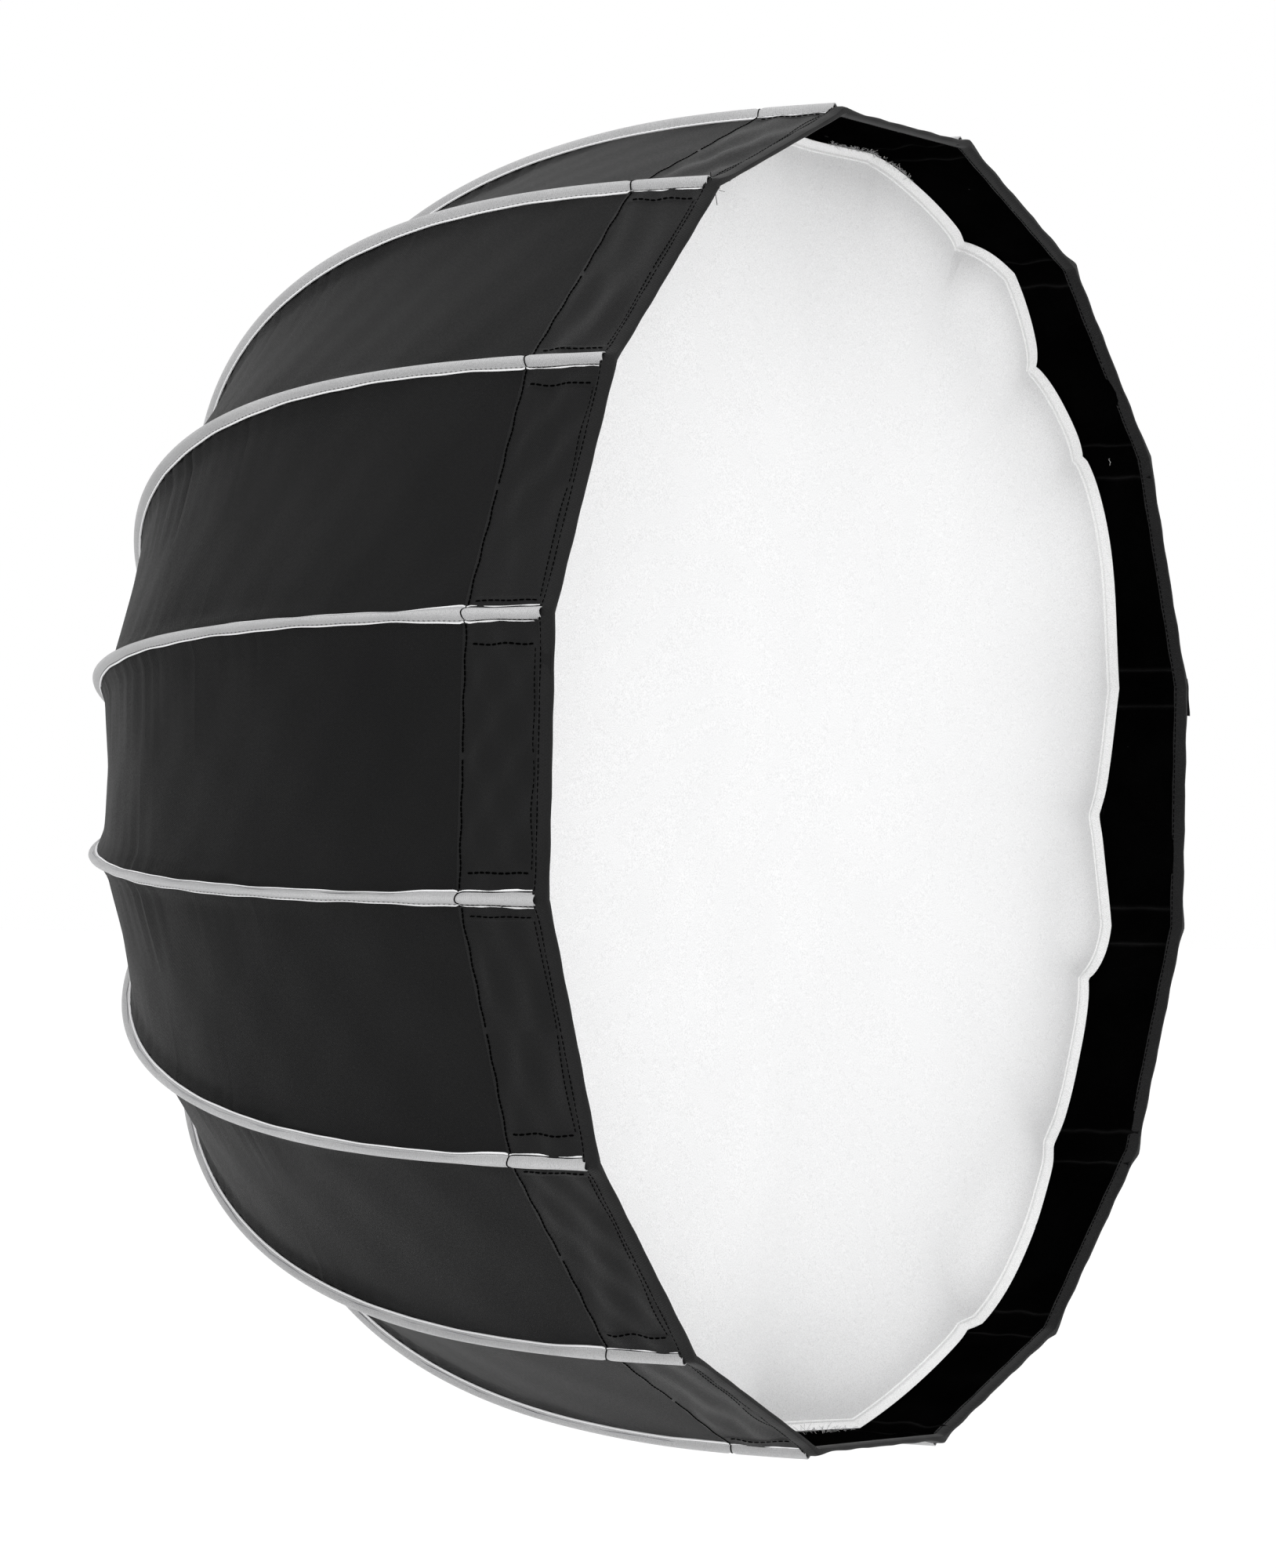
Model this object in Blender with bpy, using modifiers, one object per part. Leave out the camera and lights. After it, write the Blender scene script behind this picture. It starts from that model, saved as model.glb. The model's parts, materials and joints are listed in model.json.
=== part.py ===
"""Deep umbrella reflector for a studio flash: sixteen curved rods fold forward from a hub.

Frame: metres, +Z up. The origin is the centre of the hub's rear seat, the face that lies on
the lamp. The open mouth looks along -Y. Every rib is drawn once, in the plane x = 0 with its
hinge at the origin, and is then turned about the Y axis to its own place.
"""

import math

import bmesh
import bpy
from mathutils import Matrix, Vector

# Driving dimensions, in metres and degrees
RIB_COUNT = 16
FIRST_RIB_DEG = -8.9  # from straight up, clockwise as seen from the lamp's side
ROD_RIM_RADIUS = 0.447
DISH_DEPTH = 0.504
DEPTH_POWER = 2.7
RADIUS_POWER = 2.9

HINGE_RADIUS = 0.078
HINGE_FORWARD = 0.019
STRUT_EYE_RADIUS = 0.123
RUNNER_PIVOT_RADIUS = 0.060
STRUT_LENGTH = 0.084
RUNNER_TRAVEL = 0.0380

ROD_RADIUS = 0.0020
ROD_TIP_SETBACK = 0.010
WIRE_RADIUS = 0.0011
WIRE_CLEARANCE = 0.0004
OPEN_PIVOT_BORE = 0.0033  # loose, because the strut's eye is left free in the linkage
TOUCH_GAP = 0.0003
PIN_BARREL_RADIUS = 0.0041
CUTTER_REACH = 0.02  # a cutter's width, well past what it cuts

FABRIC = 0.0016
ROD_TO_FABRIC = 0.0004
FABRIC_OVER_HUB = 0.0055
SEAM_GAP = 0.0002  # half the gap between two neighbours at mid-panel
SLIT_HALF_WIDTH = 0.0032
FABRIC_REAR_RADIUS = 0.091
FABRIC_CROSSING = (0.150, 0.190)
DIFFUSER_SETBACK = 0.060
DIFFUSER_THICKNESS = 0.002

LIGHT_OPENING_RADIUS = 0.0435
SPIGOT_RADIUS = 0.0485
SPIGOT_LENGTH = 0.009
LUG_RADIUS = 0.0540
LUG_THICKNESS = 0.0035
LUG_COUNT = 3
LUG_WIDTH_DEG = 38.0
PLATE_RADIUS = 0.076
PLATE_THICKNESS = 0.008
CROWN_FRONT = 0.026
CROWN_RADIUS = 0.084
TUBE_OUTER_RADIUS = 0.0465
TUBE_WALL = 0.0018
COVER_WALL = 0.0018
COVER_BACK, COVER_FRONT, COVER_FLARE_FRONT = 0.0005, 0.0070, 0.0076
COVER_FLARE_RADIUS = 0.0900
SLOT_WIDTH = 0.0072
SLOT_OUTSIDE = 0.1  # a radius well outside the hub
HUB_SLOT_DEPTH = 0.0055
RUNNER_SLOT_DEPTH = 0.0078
RUNNER_HALF = 0.0062
RUNNER_NOSE = 0.0040
RUNNER_SHELF_RISE = 0.0045
RUNNER_FRONT_RISE = 0.0085
STOP_RING_WIDTH, STOP_RING_HEIGHT = 0.003, 0.0032

RING_STEPS = 32
STATION_COUNT = 14
RIB_PITCH = 2 * math.pi / RIB_COUNT


# Geometry of the dish


def rod_point(t):
    """Centre line of a rod as (forward of the seat, radius); t runs from 0 at the rim to pi/2."""
    behind_rim = DISH_DEPTH * math.sin(t) ** (2 / DEPTH_POWER)
    radius = ROD_RIM_RADIUS * math.cos(t) ** (2 / RADIUS_POWER)
    return RIM_FORWARD - behind_rim, radius


def t_of_radius(radius):
    return math.acos((radius / ROD_RIM_RADIUS) ** (RADIUS_POWER / 2))


def t_of_setback(behind_rim):
    return math.asin((behind_rim / DISH_DEPTH) ** (DEPTH_POWER / 2))


def depth_at_radius(radius):
    return DISH_DEPTH * math.sin(t_of_radius(radius)) ** (2 / DEPTH_POWER)


RIM_FORWARD = HINGE_FORWARD + depth_at_radius(HINGE_RADIUS)


def outward(t):
    """Unit vector square to the rod, pointing out of the dish, as (forward, radius)."""
    step = 1e-4
    before = Vector(rod_point(max(t - step, 0.0)))
    after = Vector(rod_point(min(t + step, math.pi / 2 - step)))
    along = (after - before).normalized()
    return Vector((along.y, -along.x))


def smooth(x):
    x = min(max(x, 0.0), 1.0)
    return x * x * (3 - 2 * x)


def fabric_offset(radius):
    """Middle of the fabric outside the rod's centre line: outside it near the hub, inside it after."""
    along_rod = -(ROD_RADIUS + ROD_TO_FABRIC + FABRIC / 2)
    low, high = FABRIC_CROSSING
    share = smooth((radius - low) / (high - low))
    return FABRIC_OVER_HUB + (along_rod - FABRIC_OVER_HUB) * share


def local(forward, radius, tangent=0.0):
    """A point of the rib's plane in the rib's own frame, whose origin is its hinge."""
    return Vector((tangent, -(forward - HINGE_FORWARD), radius - HINGE_RADIUS))


STRUT_EYE = Vector(rod_point(t_of_radius(STRUT_EYE_RADIUS)))
STRUT_RISE = STRUT_EYE.y - RUNNER_PIVOT_RADIUS
STRUT_ANGLE = math.asin(STRUT_RISE / STRUT_LENGTH)  # from the forward axis, inwards
RUNNER_PIVOT_FORWARD = STRUT_EYE.x + STRUT_LENGTH * math.cos(STRUT_ANGLE)

RUNNER_FRONT = RUNNER_PIVOT_FORWARD + RUNNER_HALF + RUNNER_NOSE
TUBE_FRONT = RUNNER_FRONT + RUNNER_TRAVEL + 0.0065

LATCH_BACK = CROWN_FRONT + 0.004
LATCH_FRONT = RUNNER_FRONT + 0.018
LATCH_WIDTH = 0.009
LATCH_METAL = 0.0008
LATCH_NOSE_RISE = 0.0035
LATCH_NOSE_GAP = 0.0008
LATCH_NOSE_LENGTH = 0.0030


# Scene helpers


def clear_scene():
    for obj in list(bpy.data.objects):
        bpy.data.objects.remove(obj, do_unlink=True)


def collection(name):
    made = bpy.data.collections.new(name)
    bpy.context.scene.collection.children.link(made)
    return made


def principled(name, colour, roughness, metallic=0.0):
    material = bpy.data.materials.new(name)
    material.use_nodes = True
    shader = material.node_tree.nodes["Principled BSDF"]
    shader.inputs["Base Color"].default_value = (*colour, 1.0)
    shader.inputs["Roughness"].default_value = roughness
    shader.inputs["Metallic"].default_value = metallic
    return material


def place(name, mesh, where, material=None):
    obj = bpy.data.objects.new(name, mesh)
    where.objects.link(obj)
    if material is not None:
        mesh.materials.clear()
        mesh.materials.append(material)
    return obj


def as_cutter(obj):
    obj.hide_render = True
    obj.display_type = "WIRE"
    return obj


def mesh_of(bm, name):
    mesh = bpy.data.meshes.new(name)
    bm.to_mesh(mesh)
    bm.free()
    return mesh


def baked(obj, weld=False):
    """The object's finished mesh in its own frame; the object is removed."""
    bpy.context.view_layer.update()
    graph = bpy.context.evaluated_depsgraph_get()
    mesh = bpy.data.meshes.new_from_object(obj.evaluated_get(graph), depsgraph=graph)
    mesh.transform(obj.matrix_world)
    bpy.data.objects.remove(obj, do_unlink=True)
    if weld:
        bm = bmesh.new()
        bm.from_mesh(mesh)
        bmesh.ops.remove_doubles(bm, verts=bm.verts, dist=1e-6)
        bmesh.ops.recalc_face_normals(bm, faces=bm.faces)
        bm.to_mesh(mesh)
        bm.free()
    return mesh


def combine(obj, other, operation):
    modifier = obj.modifiers.new(operation.title(), "BOOLEAN")
    modifier.operation = operation
    modifier.solver = "EXACT"
    modifier.object = other


def rounded(mesh, sharp_deg=35):
    mesh.shade_smooth()
    mesh.set_sharp_from_angle(angle=math.radians(sharp_deg))


# Shape helpers


def box_mesh(name, low, high):
    bm = bmesh.new()
    bmesh.ops.create_cube(bm, size=1.0)
    low, high = Vector(low), Vector(high)
    bmesh.ops.scale(bm, vec=high - low, verts=bm.verts)
    bmesh.ops.translate(bm, vec=(low + high) / 2, verts=bm.verts)
    return mesh_of(bm, name)


def cross_cylinder(name, radius, width, centre=(0, 0, 0), segments=10):
    """A cylinder lying along X, the direction of every hinge pin of the rib that stands on top."""
    bm = bmesh.new()
    turn = Matrix.Rotation(math.pi / 2, 4, "Y") @ Matrix.Rotation(math.pi / segments, 4, "Z")
    bmesh.ops.create_cone(
        bm,
        cap_ends=True,
        segments=segments,
        radius1=radius,
        radius2=radius,
        depth=width,
        matrix=Matrix.Translation(centre) @ turn,
    )
    return mesh_of(bm, name)


def rod_mesh(name, points, radius):
    curve = bpy.data.curves.new(name, "CURVE")
    curve.dimensions = "3D"
    curve.bevel_depth = radius
    curve.bevel_resolution = 1
    curve.use_fill_caps = True
    spline = curve.splines.new("POLY")
    spline.points.add(len(points) - 1)
    for target, point in zip(spline.points, points):
        target.co = (*point, 1.0)
    return baked(place(name, curve, scratch), weld=True)


def flat_outline(name, points, thickness):
    """A flat plate of this outline in the XY plane, with its thickness along Z about zero."""
    curve = bpy.data.curves.new(name, "CURVE")
    curve.dimensions = "2D"
    curve.fill_mode = "BOTH"
    curve.extrude = thickness / 2
    spline = curve.splines.new("POLY")
    spline.points.add(len(points) - 1)
    for target, (x, y) in zip(spline.points, points):
        target.co = (x, y, 0.0, 1.0)
    spline.use_cyclic_u = True
    return baked(place(name, curve, scratch), weld=True)


def turned(name, profile, where, material=None, steps=RING_STEPS):
    """A ring turned about the Y axis from (forward, radius) points that run round its section."""
    bm = bmesh.new()
    verts = [bm.verts.new((radius, 0.0, forward)) for forward, radius in profile]
    for first, second in zip(verts, verts[1:] + verts[:1]):
        bm.edges.new((first, second))
    obj = place(name, mesh_of(bm, name), where, material)
    screw = obj.modifiers.new("Screw", "SCREW")
    screw.axis = "Z"
    screw.angle = 2 * math.pi
    screw.steps = steps
    screw.render_steps = steps
    screw.use_merge_vertices = True
    screw.merge_threshold = 0.00005
    mesh = baked(obj, weld=True)
    mesh.transform(Matrix.Rotation(math.pi / 2, 4, "X"))  # +Z of the profile becomes -Y
    mesh.transform(Matrix.Rotation(math.radians(FIRST_RIB_DEG), 4, "Y"))
    rounded(mesh)
    return place(name, mesh, where, material)


def torus_mesh(name, forward, radius, wire):
    bpy.ops.mesh.primitive_torus_add(
        major_segments=RING_STEPS, minor_segments=5, major_radius=radius, minor_radius=wire
    )
    mesh = baked(bpy.context.object)
    mesh.name = name
    mesh.transform(Matrix.Rotation(math.pi / 2, 4, "X"))
    mesh.transform(Matrix.Rotation(math.radians(FIRST_RIB_DEG), 4, "Y"))
    mesh.transform(Matrix.Translation((0, -forward, 0)))
    rounded(mesh, 60)
    return mesh


def rib_turn(index):
    return math.radians(FIRST_RIB_DEG) + index * RIB_PITCH


def notch_cutters(name, low_radius, high_radius, back, front, width):
    """Sixteen boxes, one at each rib, joined as one cutter."""
    bm = bmesh.new()
    for index in range(RIB_COUNT):
        size = Vector((width, front - back, high_radius - low_radius))
        middle = Vector((0, -(front + back) / 2, (high_radius + low_radius) / 2))
        matrix = Matrix.Rotation(rib_turn(index), 4, "Y") @ Matrix.Translation(middle)
        bmesh.ops.create_cube(bm, size=1.0, matrix=matrix @ Matrix.Diagonal((*size, 1.0)))
    return as_cutter(place(name, mesh_of(bm, name), cutters))


# Hub


def mount_ring(material):
    back = -SPIGOT_LENGTH
    ring = turned(
        "mount_ring",
        [
            (back, LIGHT_OPENING_RADIUS),
            (PLATE_THICKNESS, LIGHT_OPENING_RADIUS),
            (PLATE_THICKNESS, PLATE_RADIUS - 0.001),
            (PLATE_THICKNESS - 0.001, PLATE_RADIUS),
            (0.0015, PLATE_RADIUS),
            (0.0, PLATE_RADIUS - 0.0015),
            (0.0, SPIGOT_RADIUS),
            (back, SPIGOT_RADIUS),
        ],
        parts,
        material,
    )
    lugs = as_cutter(place("mount_lugs", lug_mesh(), cutters))
    combine(ring, lugs, "UNION")
    return ring


def lug_mesh():
    """Three short tabs round the spigot, cut from one ring by leaving the gaps out."""
    bm = bmesh.new()
    steps = 5
    inner = SPIGOT_RADIUS - 0.002
    front = -SPIGOT_LENGTH + 0.0004
    for lug in range(LUG_COUNT):
        middle = 2 * math.pi * lug / LUG_COUNT
        ends = [
            middle + math.radians(LUG_WIDTH_DEG) * (k / steps - 0.5) for k in range(steps + 1)
        ]
        points = [(LUG_RADIUS * math.sin(a), LUG_RADIUS * math.cos(a)) for a in ends]
        points += [(inner * math.sin(a), inner * math.cos(a)) for a in reversed(ends)]
        face = bm.faces.new([bm.verts.new((x, -front, z)) for x, z in points])
        made = bmesh.ops.extrude_face_region(bm, geom=[face])
        moved = [v for v in made["geom"] if isinstance(v, bmesh.types.BMVert)]
        bmesh.ops.translate(bm, vec=(0, -LUG_THICKNESS, 0), verts=moved)
    bmesh.ops.recalc_face_normals(bm, faces=bm.faces)
    return mesh_of(bm, "mount_lugs")


def crown(material):
    back = PLATE_THICKNESS + TOUCH_GAP
    inner = TUBE_OUTER_RADIUS + TOUCH_GAP
    ring = turned(
        "crown",
        [
            (back, inner),
            (CROWN_FRONT, inner),
            (CROWN_FRONT, CROWN_RADIUS - 0.012),
            (CROWN_FRONT - 0.002, CROWN_RADIUS),
            (back, CROWN_RADIUS),
        ],
        parts,
        material,
    )
    low = HINGE_RADIUS - HUB_SLOT_DEPTH
    slots = notch_cutters("crown_slots", low, SLOT_OUTSIDE, 0.0, 0.04, SLOT_WIDTH)
    combine(ring, slots, "DIFFERENCE")
    bore = torus_mesh("crown_bore", HINGE_FORWARD, HINGE_RADIUS, WIRE_RADIUS + WIRE_CLEARANCE)
    combine(ring, as_cutter(place("crown_bore", bore, cutters)), "DIFFERENCE")
    return ring


def hub_cover(material):
    """The thin flared ring behind the rod ends, which the fabric's rear edge tucks under."""
    inner = PLATE_RADIUS + TOUCH_GAP
    flare = COVER_FLARE_RADIUS
    return turned(
        "hub_cover",
        [
            (COVER_BACK, inner),
            (COVER_FRONT, inner),
            (COVER_FRONT, inner + COVER_WALL),
            (COVER_FLARE_FRONT, flare),
            (COVER_FLARE_FRONT - COVER_WALL, flare + 0.0006),
            (COVER_BACK + 0.0025, flare - 0.0040),
            (COVER_BACK, inner + COVER_WALL),
        ],
        parts,
        material,
    )


def guide_tube(material):
    back = PLATE_THICKNESS + TOUCH_GAP
    inner = TUBE_OUTER_RADIUS - TUBE_WALL
    tube = turned(
        "guide_tube",
        [(back, inner), (TUBE_FRONT, inner), (TUBE_FRONT, TUBE_OUTER_RADIUS), (back, TUBE_OUTER_RADIUS)],
        parts,
        material,
    )
    bm = bmesh.new()
    for side in (-1, 1):
        low, high = LATCH_BACK - 0.001, LATCH_FRONT + 0.001
        size = Vector((0.02, high - low, LATCH_WIDTH + 0.001))
        middle = Vector((side * TUBE_OUTER_RADIUS, -(low + high) / 2, 0))
        matrix = Matrix.Translation(middle) @ Matrix.Diagonal((*size, 1.0))
        bmesh.ops.create_cube(bm, size=1.0, matrix=matrix)
    windows = as_cutter(place("latch_windows", mesh_of(bm, "latch_windows"), cutters))
    combine(tube, windows, "DIFFERENCE")
    return tube


def latch_spring(name, side, material):
    """A bent leaf in a window of the guide tube; its nose stands up in front of the runner."""
    low = TUBE_OUTER_RADIUS - TUBE_WALL
    nose = TUBE_OUTER_RADIUS + LATCH_NOSE_RISE
    step = RUNNER_FRONT + LATCH_NOSE_GAP
    ramp = step + LATCH_NOSE_LENGTH
    inner = [(LATCH_BACK, low), (step + LATCH_METAL, low), (step + LATCH_METAL, nose)]
    inner += [(ramp - LATCH_METAL / 2, nose), (LATCH_FRONT - 0.0005, low), (LATCH_FRONT, low)]
    rise = LATCH_METAL
    outer = [(LATCH_FRONT, low + rise), (ramp, nose + rise), (step, nose + rise)]
    outer += [(step, low + rise), (LATCH_BACK, low + rise)]
    outline = inner + outer
    mesh = flat_outline(name, outline, LATCH_WIDTH)
    # outline X is forward (-Y of the object) and outline Y is radius
    turn = Matrix(((0, side, 0, 0), (-1, 0, 0, 0), (0, 0, side, 0), (0, 0, 0, 1)))
    mesh.transform(turn)
    return place(name, mesh, parts, material)


def stop_ring(material):
    low, high = TUBE_OUTER_RADIUS + TOUCH_GAP, TUBE_OUTER_RADIUS + TOUCH_GAP + STOP_RING_HEIGHT
    back = TUBE_FRONT - 0.0045
    front = back + STOP_RING_WIDTH
    return turned(
        "stop_ring",
        [(back, low), (front, low), (front, high), (back, high)],
        parts,
        material,
    )


# Runner


def runner(material):
    low = TUBE_OUTER_RADIUS + 0.0004
    back = RUNNER_PIVOT_FORWARD - RUNNER_HALF
    shelf = RUNNER_PIVOT_FORWARD + RUNNER_HALF
    front_rim = RUNNER_PIVOT_RADIUS + RUNNER_FRONT_RISE
    shelf_rim = RUNNER_PIVOT_RADIUS + RUNNER_SHELF_RISE
    ring = turned(
        "runner",
        [
            (back, low),
            (RUNNER_FRONT, low),
            (RUNNER_FRONT, front_rim),
            (shelf, front_rim),
            (shelf, shelf_rim),
            (back, shelf_rim),
        ],
        parts,
        material,
    )
    floor = RUNNER_PIVOT_RADIUS - RUNNER_SLOT_DEPTH
    ends = (back - 0.01, shelf + 0.0010)
    slots = notch_cutters("runner_slots", floor, SLOT_OUTSIDE, *ends, SLOT_WIDTH)
    combine(ring, slots, "DIFFERENCE")
    wire = WIRE_RADIUS + WIRE_CLEARANCE
    bore = torus_mesh("runner_bore", RUNNER_PIVOT_FORWARD, RUNNER_PIVOT_RADIUS, wire)
    combine(ring, as_cutter(place("runner_bore", bore, cutters)), "DIFFERENCE")
    return ring


# Ribs, struts and fabric


def stations(first_radius):
    """Where the rod and the fabric bend, hub to rim, the same for both so that they run side by side."""
    start = t_of_radius(HINGE_RADIUS)
    first = t_of_radius(first_radius)
    shared = [start * (1 - k / STATION_COUNT) for k in range(1, STATION_COUNT + 1)]
    return [first] + [t for t in shared if t < first - 0.01]


def rib_mesh():
    """One curved rod with a hinge knuckle at its root and a barrel for the strut's pin."""
    spots = stations(HINGE_RADIUS)
    spots[-1] = t_of_setback(ROD_TIP_SETBACK)
    line = [local(*rod_point(t)) for t in spots]
    line[0] = line[0] + Vector((0, 0, 0.0022))
    rod = place("rib_rod", rod_mesh("rib_rod", line, ROD_RADIUS), scratch)
    eye = local(*STRUT_EYE)
    helpers = []
    for name, centre, width in (("knuckle", (0, 0, 0), 0.006), ("barrel", eye, 0.0058)):
        outer = cross_cylinder(name, PIN_BARREL_RADIUS, width, centre)
        outer = place(name, outer, scratch)
        combine(rod, outer, "UNION")
        helpers.append(outer)
    for name, centre in (("knuckle_bore", (0, 0, 0)), ("barrel_bore", eye)):
        bore = cross_cylinder(name, WIRE_RADIUS + WIRE_CLEARANCE, CUTTER_REACH, centre, 8)
        bore = place(name, bore, scratch)
        combine(rod, bore, "DIFFERENCE")
        helpers.append(bore)
    mesh = baked(rod)
    for helper in helpers:
        bpy.data.objects.remove(helper, do_unlink=True)
    rounded(mesh)
    return mesh


def strut_mesh():
    """A flat push bar: a fork and pin at the rib, its origin, and a loose eye at the runner."""
    along = Vector((0, -math.cos(STRUT_ANGLE), -math.sin(STRUT_ANGLE)))
    across = Vector((0, -along.z, along.y))
    tilt = Matrix((Vector((1, 0, 0)), along, across)).transposed().to_4x4()

    def piece(name, low, high):
        mesh = box_mesh(name, low, high)
        mesh.transform(tilt)
        return place(name, mesh, scratch)

    cheek_in, cheek_out, half = 0.0034, 0.0050, 0.0026
    bar = piece("strut_bar", (-0.0025, 0.0085, -0.0015), (0.0025, STRUT_LENGTH - 0.004, 0.0015))
    bridge = piece("strut_bridge", (-cheek_out, 0.0080, -half), (cheek_out, 0.0115, half))
    left = piece("strut_left", (-cheek_out, -0.003, -half), (-cheek_in, 0.009, half))
    right = piece("strut_right", (cheek_in, -0.003, -half), (cheek_out, 0.009, half))
    pin = place("strut_pin", cross_cylinder("strut_pin", WIRE_RADIUS, 0.009, segments=8), scratch)
    end = along * STRUT_LENGTH
    eye = place("strut_eye", cross_cylinder("strut_eye", 0.0052, 0.0050, end), scratch)
    for other in (bridge, left, right, pin, eye):
        combine(bar, other, "UNION")
    hole = cross_cylinder("strut_hole", OPEN_PIVOT_BORE, CUTTER_REACH, end)
    hole = place("strut_hole", hole, scratch)
    combine(bar, hole, "DIFFERENCE")
    mesh = baked(bar)
    for helper in (bridge, left, right, pin, eye, hole):
        bpy.data.objects.remove(helper, do_unlink=True)
    rounded(mesh)
    return mesh


def gore_mesh():
    """Fabric from mid-panel to mid-panel round one rib, with a slit where the rod comes through."""
    spots = stations(FABRIC_REAR_RADIUS)
    edge = RIB_PITCH / 2
    bm = bmesh.new()
    bmesh.ops.create_grid(bm, x_segments=2, y_segments=len(spots) - 1, size=1.0)
    for vert in bm.verts:
        t = spots[round((vert.co.y + 1) / 2 * (len(spots) - 1))]
        middle = Vector(rod_point(t))
        middle += outward(t) * fabric_offset(middle.y)
        reach = middle.y * math.sin(edge) - SEAM_GAP
        drop = middle.y * (1 - math.cos(edge)) * abs(vert.co.x)
        vert.co = local(middle.x, middle.y - drop, vert.co.x * reach)
    bmesh.ops.recalc_face_normals(bm, faces=bm.faces)
    sheet = place("gore_sheet", mesh_of(bm, "gore_sheet"), scratch)
    solid = sheet.modifiers.new("Solidify", "SOLIDIFY")
    solid.thickness = FABRIC
    solid.offset = 0
    low, high = FABRIC_CROSSING
    slit = box_mesh(
        "gore_slit",
        local(RIM_FORWARD, low - 0.016, -SLIT_HALF_WIDTH),
        local(0.0, high + 0.014, SLIT_HALF_WIDTH),
    )
    slit = place("gore_slit", slit, scratch)
    combine(sheet, slit, "DIFFERENCE")
    mesh = baked(sheet)
    bpy.data.objects.remove(slit, do_unlink=True)
    rounded(mesh, 50)
    return mesh


def front_diffuser(material):
    """The translucent cloth set back inside the lip, a thin sixteen-sided disc."""
    corner = Vector(rod_point(t_of_setback(DIFFUSER_SETBACK))).y - ROD_RADIUS - FABRIC - 0.0014
    bm = bmesh.new()
    bmesh.ops.create_cone(
        bm,
        cap_ends=True,
        segments=RIB_COUNT,
        radius1=corner,
        radius2=corner,
        depth=DIFFUSER_THICKNESS,
        matrix=Matrix.Rotation(math.radians(FIRST_RIB_DEG), 4, "Y")
        @ Matrix.Rotation(math.pi / 2, 4, "X"),
    )
    obj = place("front_diffuser", mesh_of(bm, "front_diffuser"), parts, material)
    obj.location = (0, -(RIM_FORWARD - DIFFUSER_SETBACK), 0)
    return obj


def ribs(steel, bracket, fabric):
    rib, strut, gore = rib_mesh(), strut_mesh(), gore_mesh()
    eye = local(*STRUT_EYE)
    for index in range(RIB_COUNT):
        number = f"{index + 1:02d}"
        turn = Matrix.Rotation(rib_turn(index), 4, "Y")
        rod = place(f"rib_{number}", rib, parts, steel)
        rod.matrix_world = turn @ Matrix.Translation((0, -HINGE_FORWARD, HINGE_RADIUS))
        cloth = place(f"gore_{number}", gore, parts, fabric)
        cloth.parent = rod
        push = place(f"strut_{number}", strut, parts, bracket)
        push.parent = rod
        push.location = eye


clear_scene()
parts = collection("umbrella_reflector")
cutters = collection("cutters")
scratch = collection("scratch")

aluminium = principled("cast_aluminium", (0.55, 0.55, 0.56), 0.42, 0.9)
nylon = principled("black_nylon", (0.018, 0.018, 0.019), 0.5)
spring_steel = principled("spring_steel", (0.42, 0.42, 0.43), 0.3, 1.0)
rod_steel = principled("rod_steel", (0.30, 0.30, 0.31), 0.35, 0.9)
black_cloth = principled("black_polyester", (0.020, 0.020, 0.021), 0.75)
white_cloth = principled("white_diffusion", (0.86, 0.86, 0.86), 0.8)

mount_ring(aluminium)
crown(nylon)
hub_cover(nylon)
guide_tube(aluminium)
stop_ring(spring_steel)
latch_spring("latch_spring_left", -1, spring_steel)
latch_spring("latch_spring_right", 1, spring_steel)
place(
    "hinge_wire",
    torus_mesh("hinge_wire", HINGE_FORWARD, HINGE_RADIUS, WIRE_RADIUS),
    parts,
    spring_steel,
)
runner(nylon)
place(
    "strut_wire",
    torus_mesh("strut_wire", RUNNER_PIVOT_FORWARD, RUNNER_PIVOT_RADIUS, WIRE_RADIUS),
    parts,
    spring_steel,
)
front_diffuser(white_cloth)
ribs(rod_steel, nylon, black_cloth)
bpy.data.collections.remove(scratch)
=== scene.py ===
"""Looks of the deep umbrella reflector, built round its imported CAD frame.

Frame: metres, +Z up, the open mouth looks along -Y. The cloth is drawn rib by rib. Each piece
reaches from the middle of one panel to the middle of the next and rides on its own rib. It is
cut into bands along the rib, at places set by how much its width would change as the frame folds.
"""

import math

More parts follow.
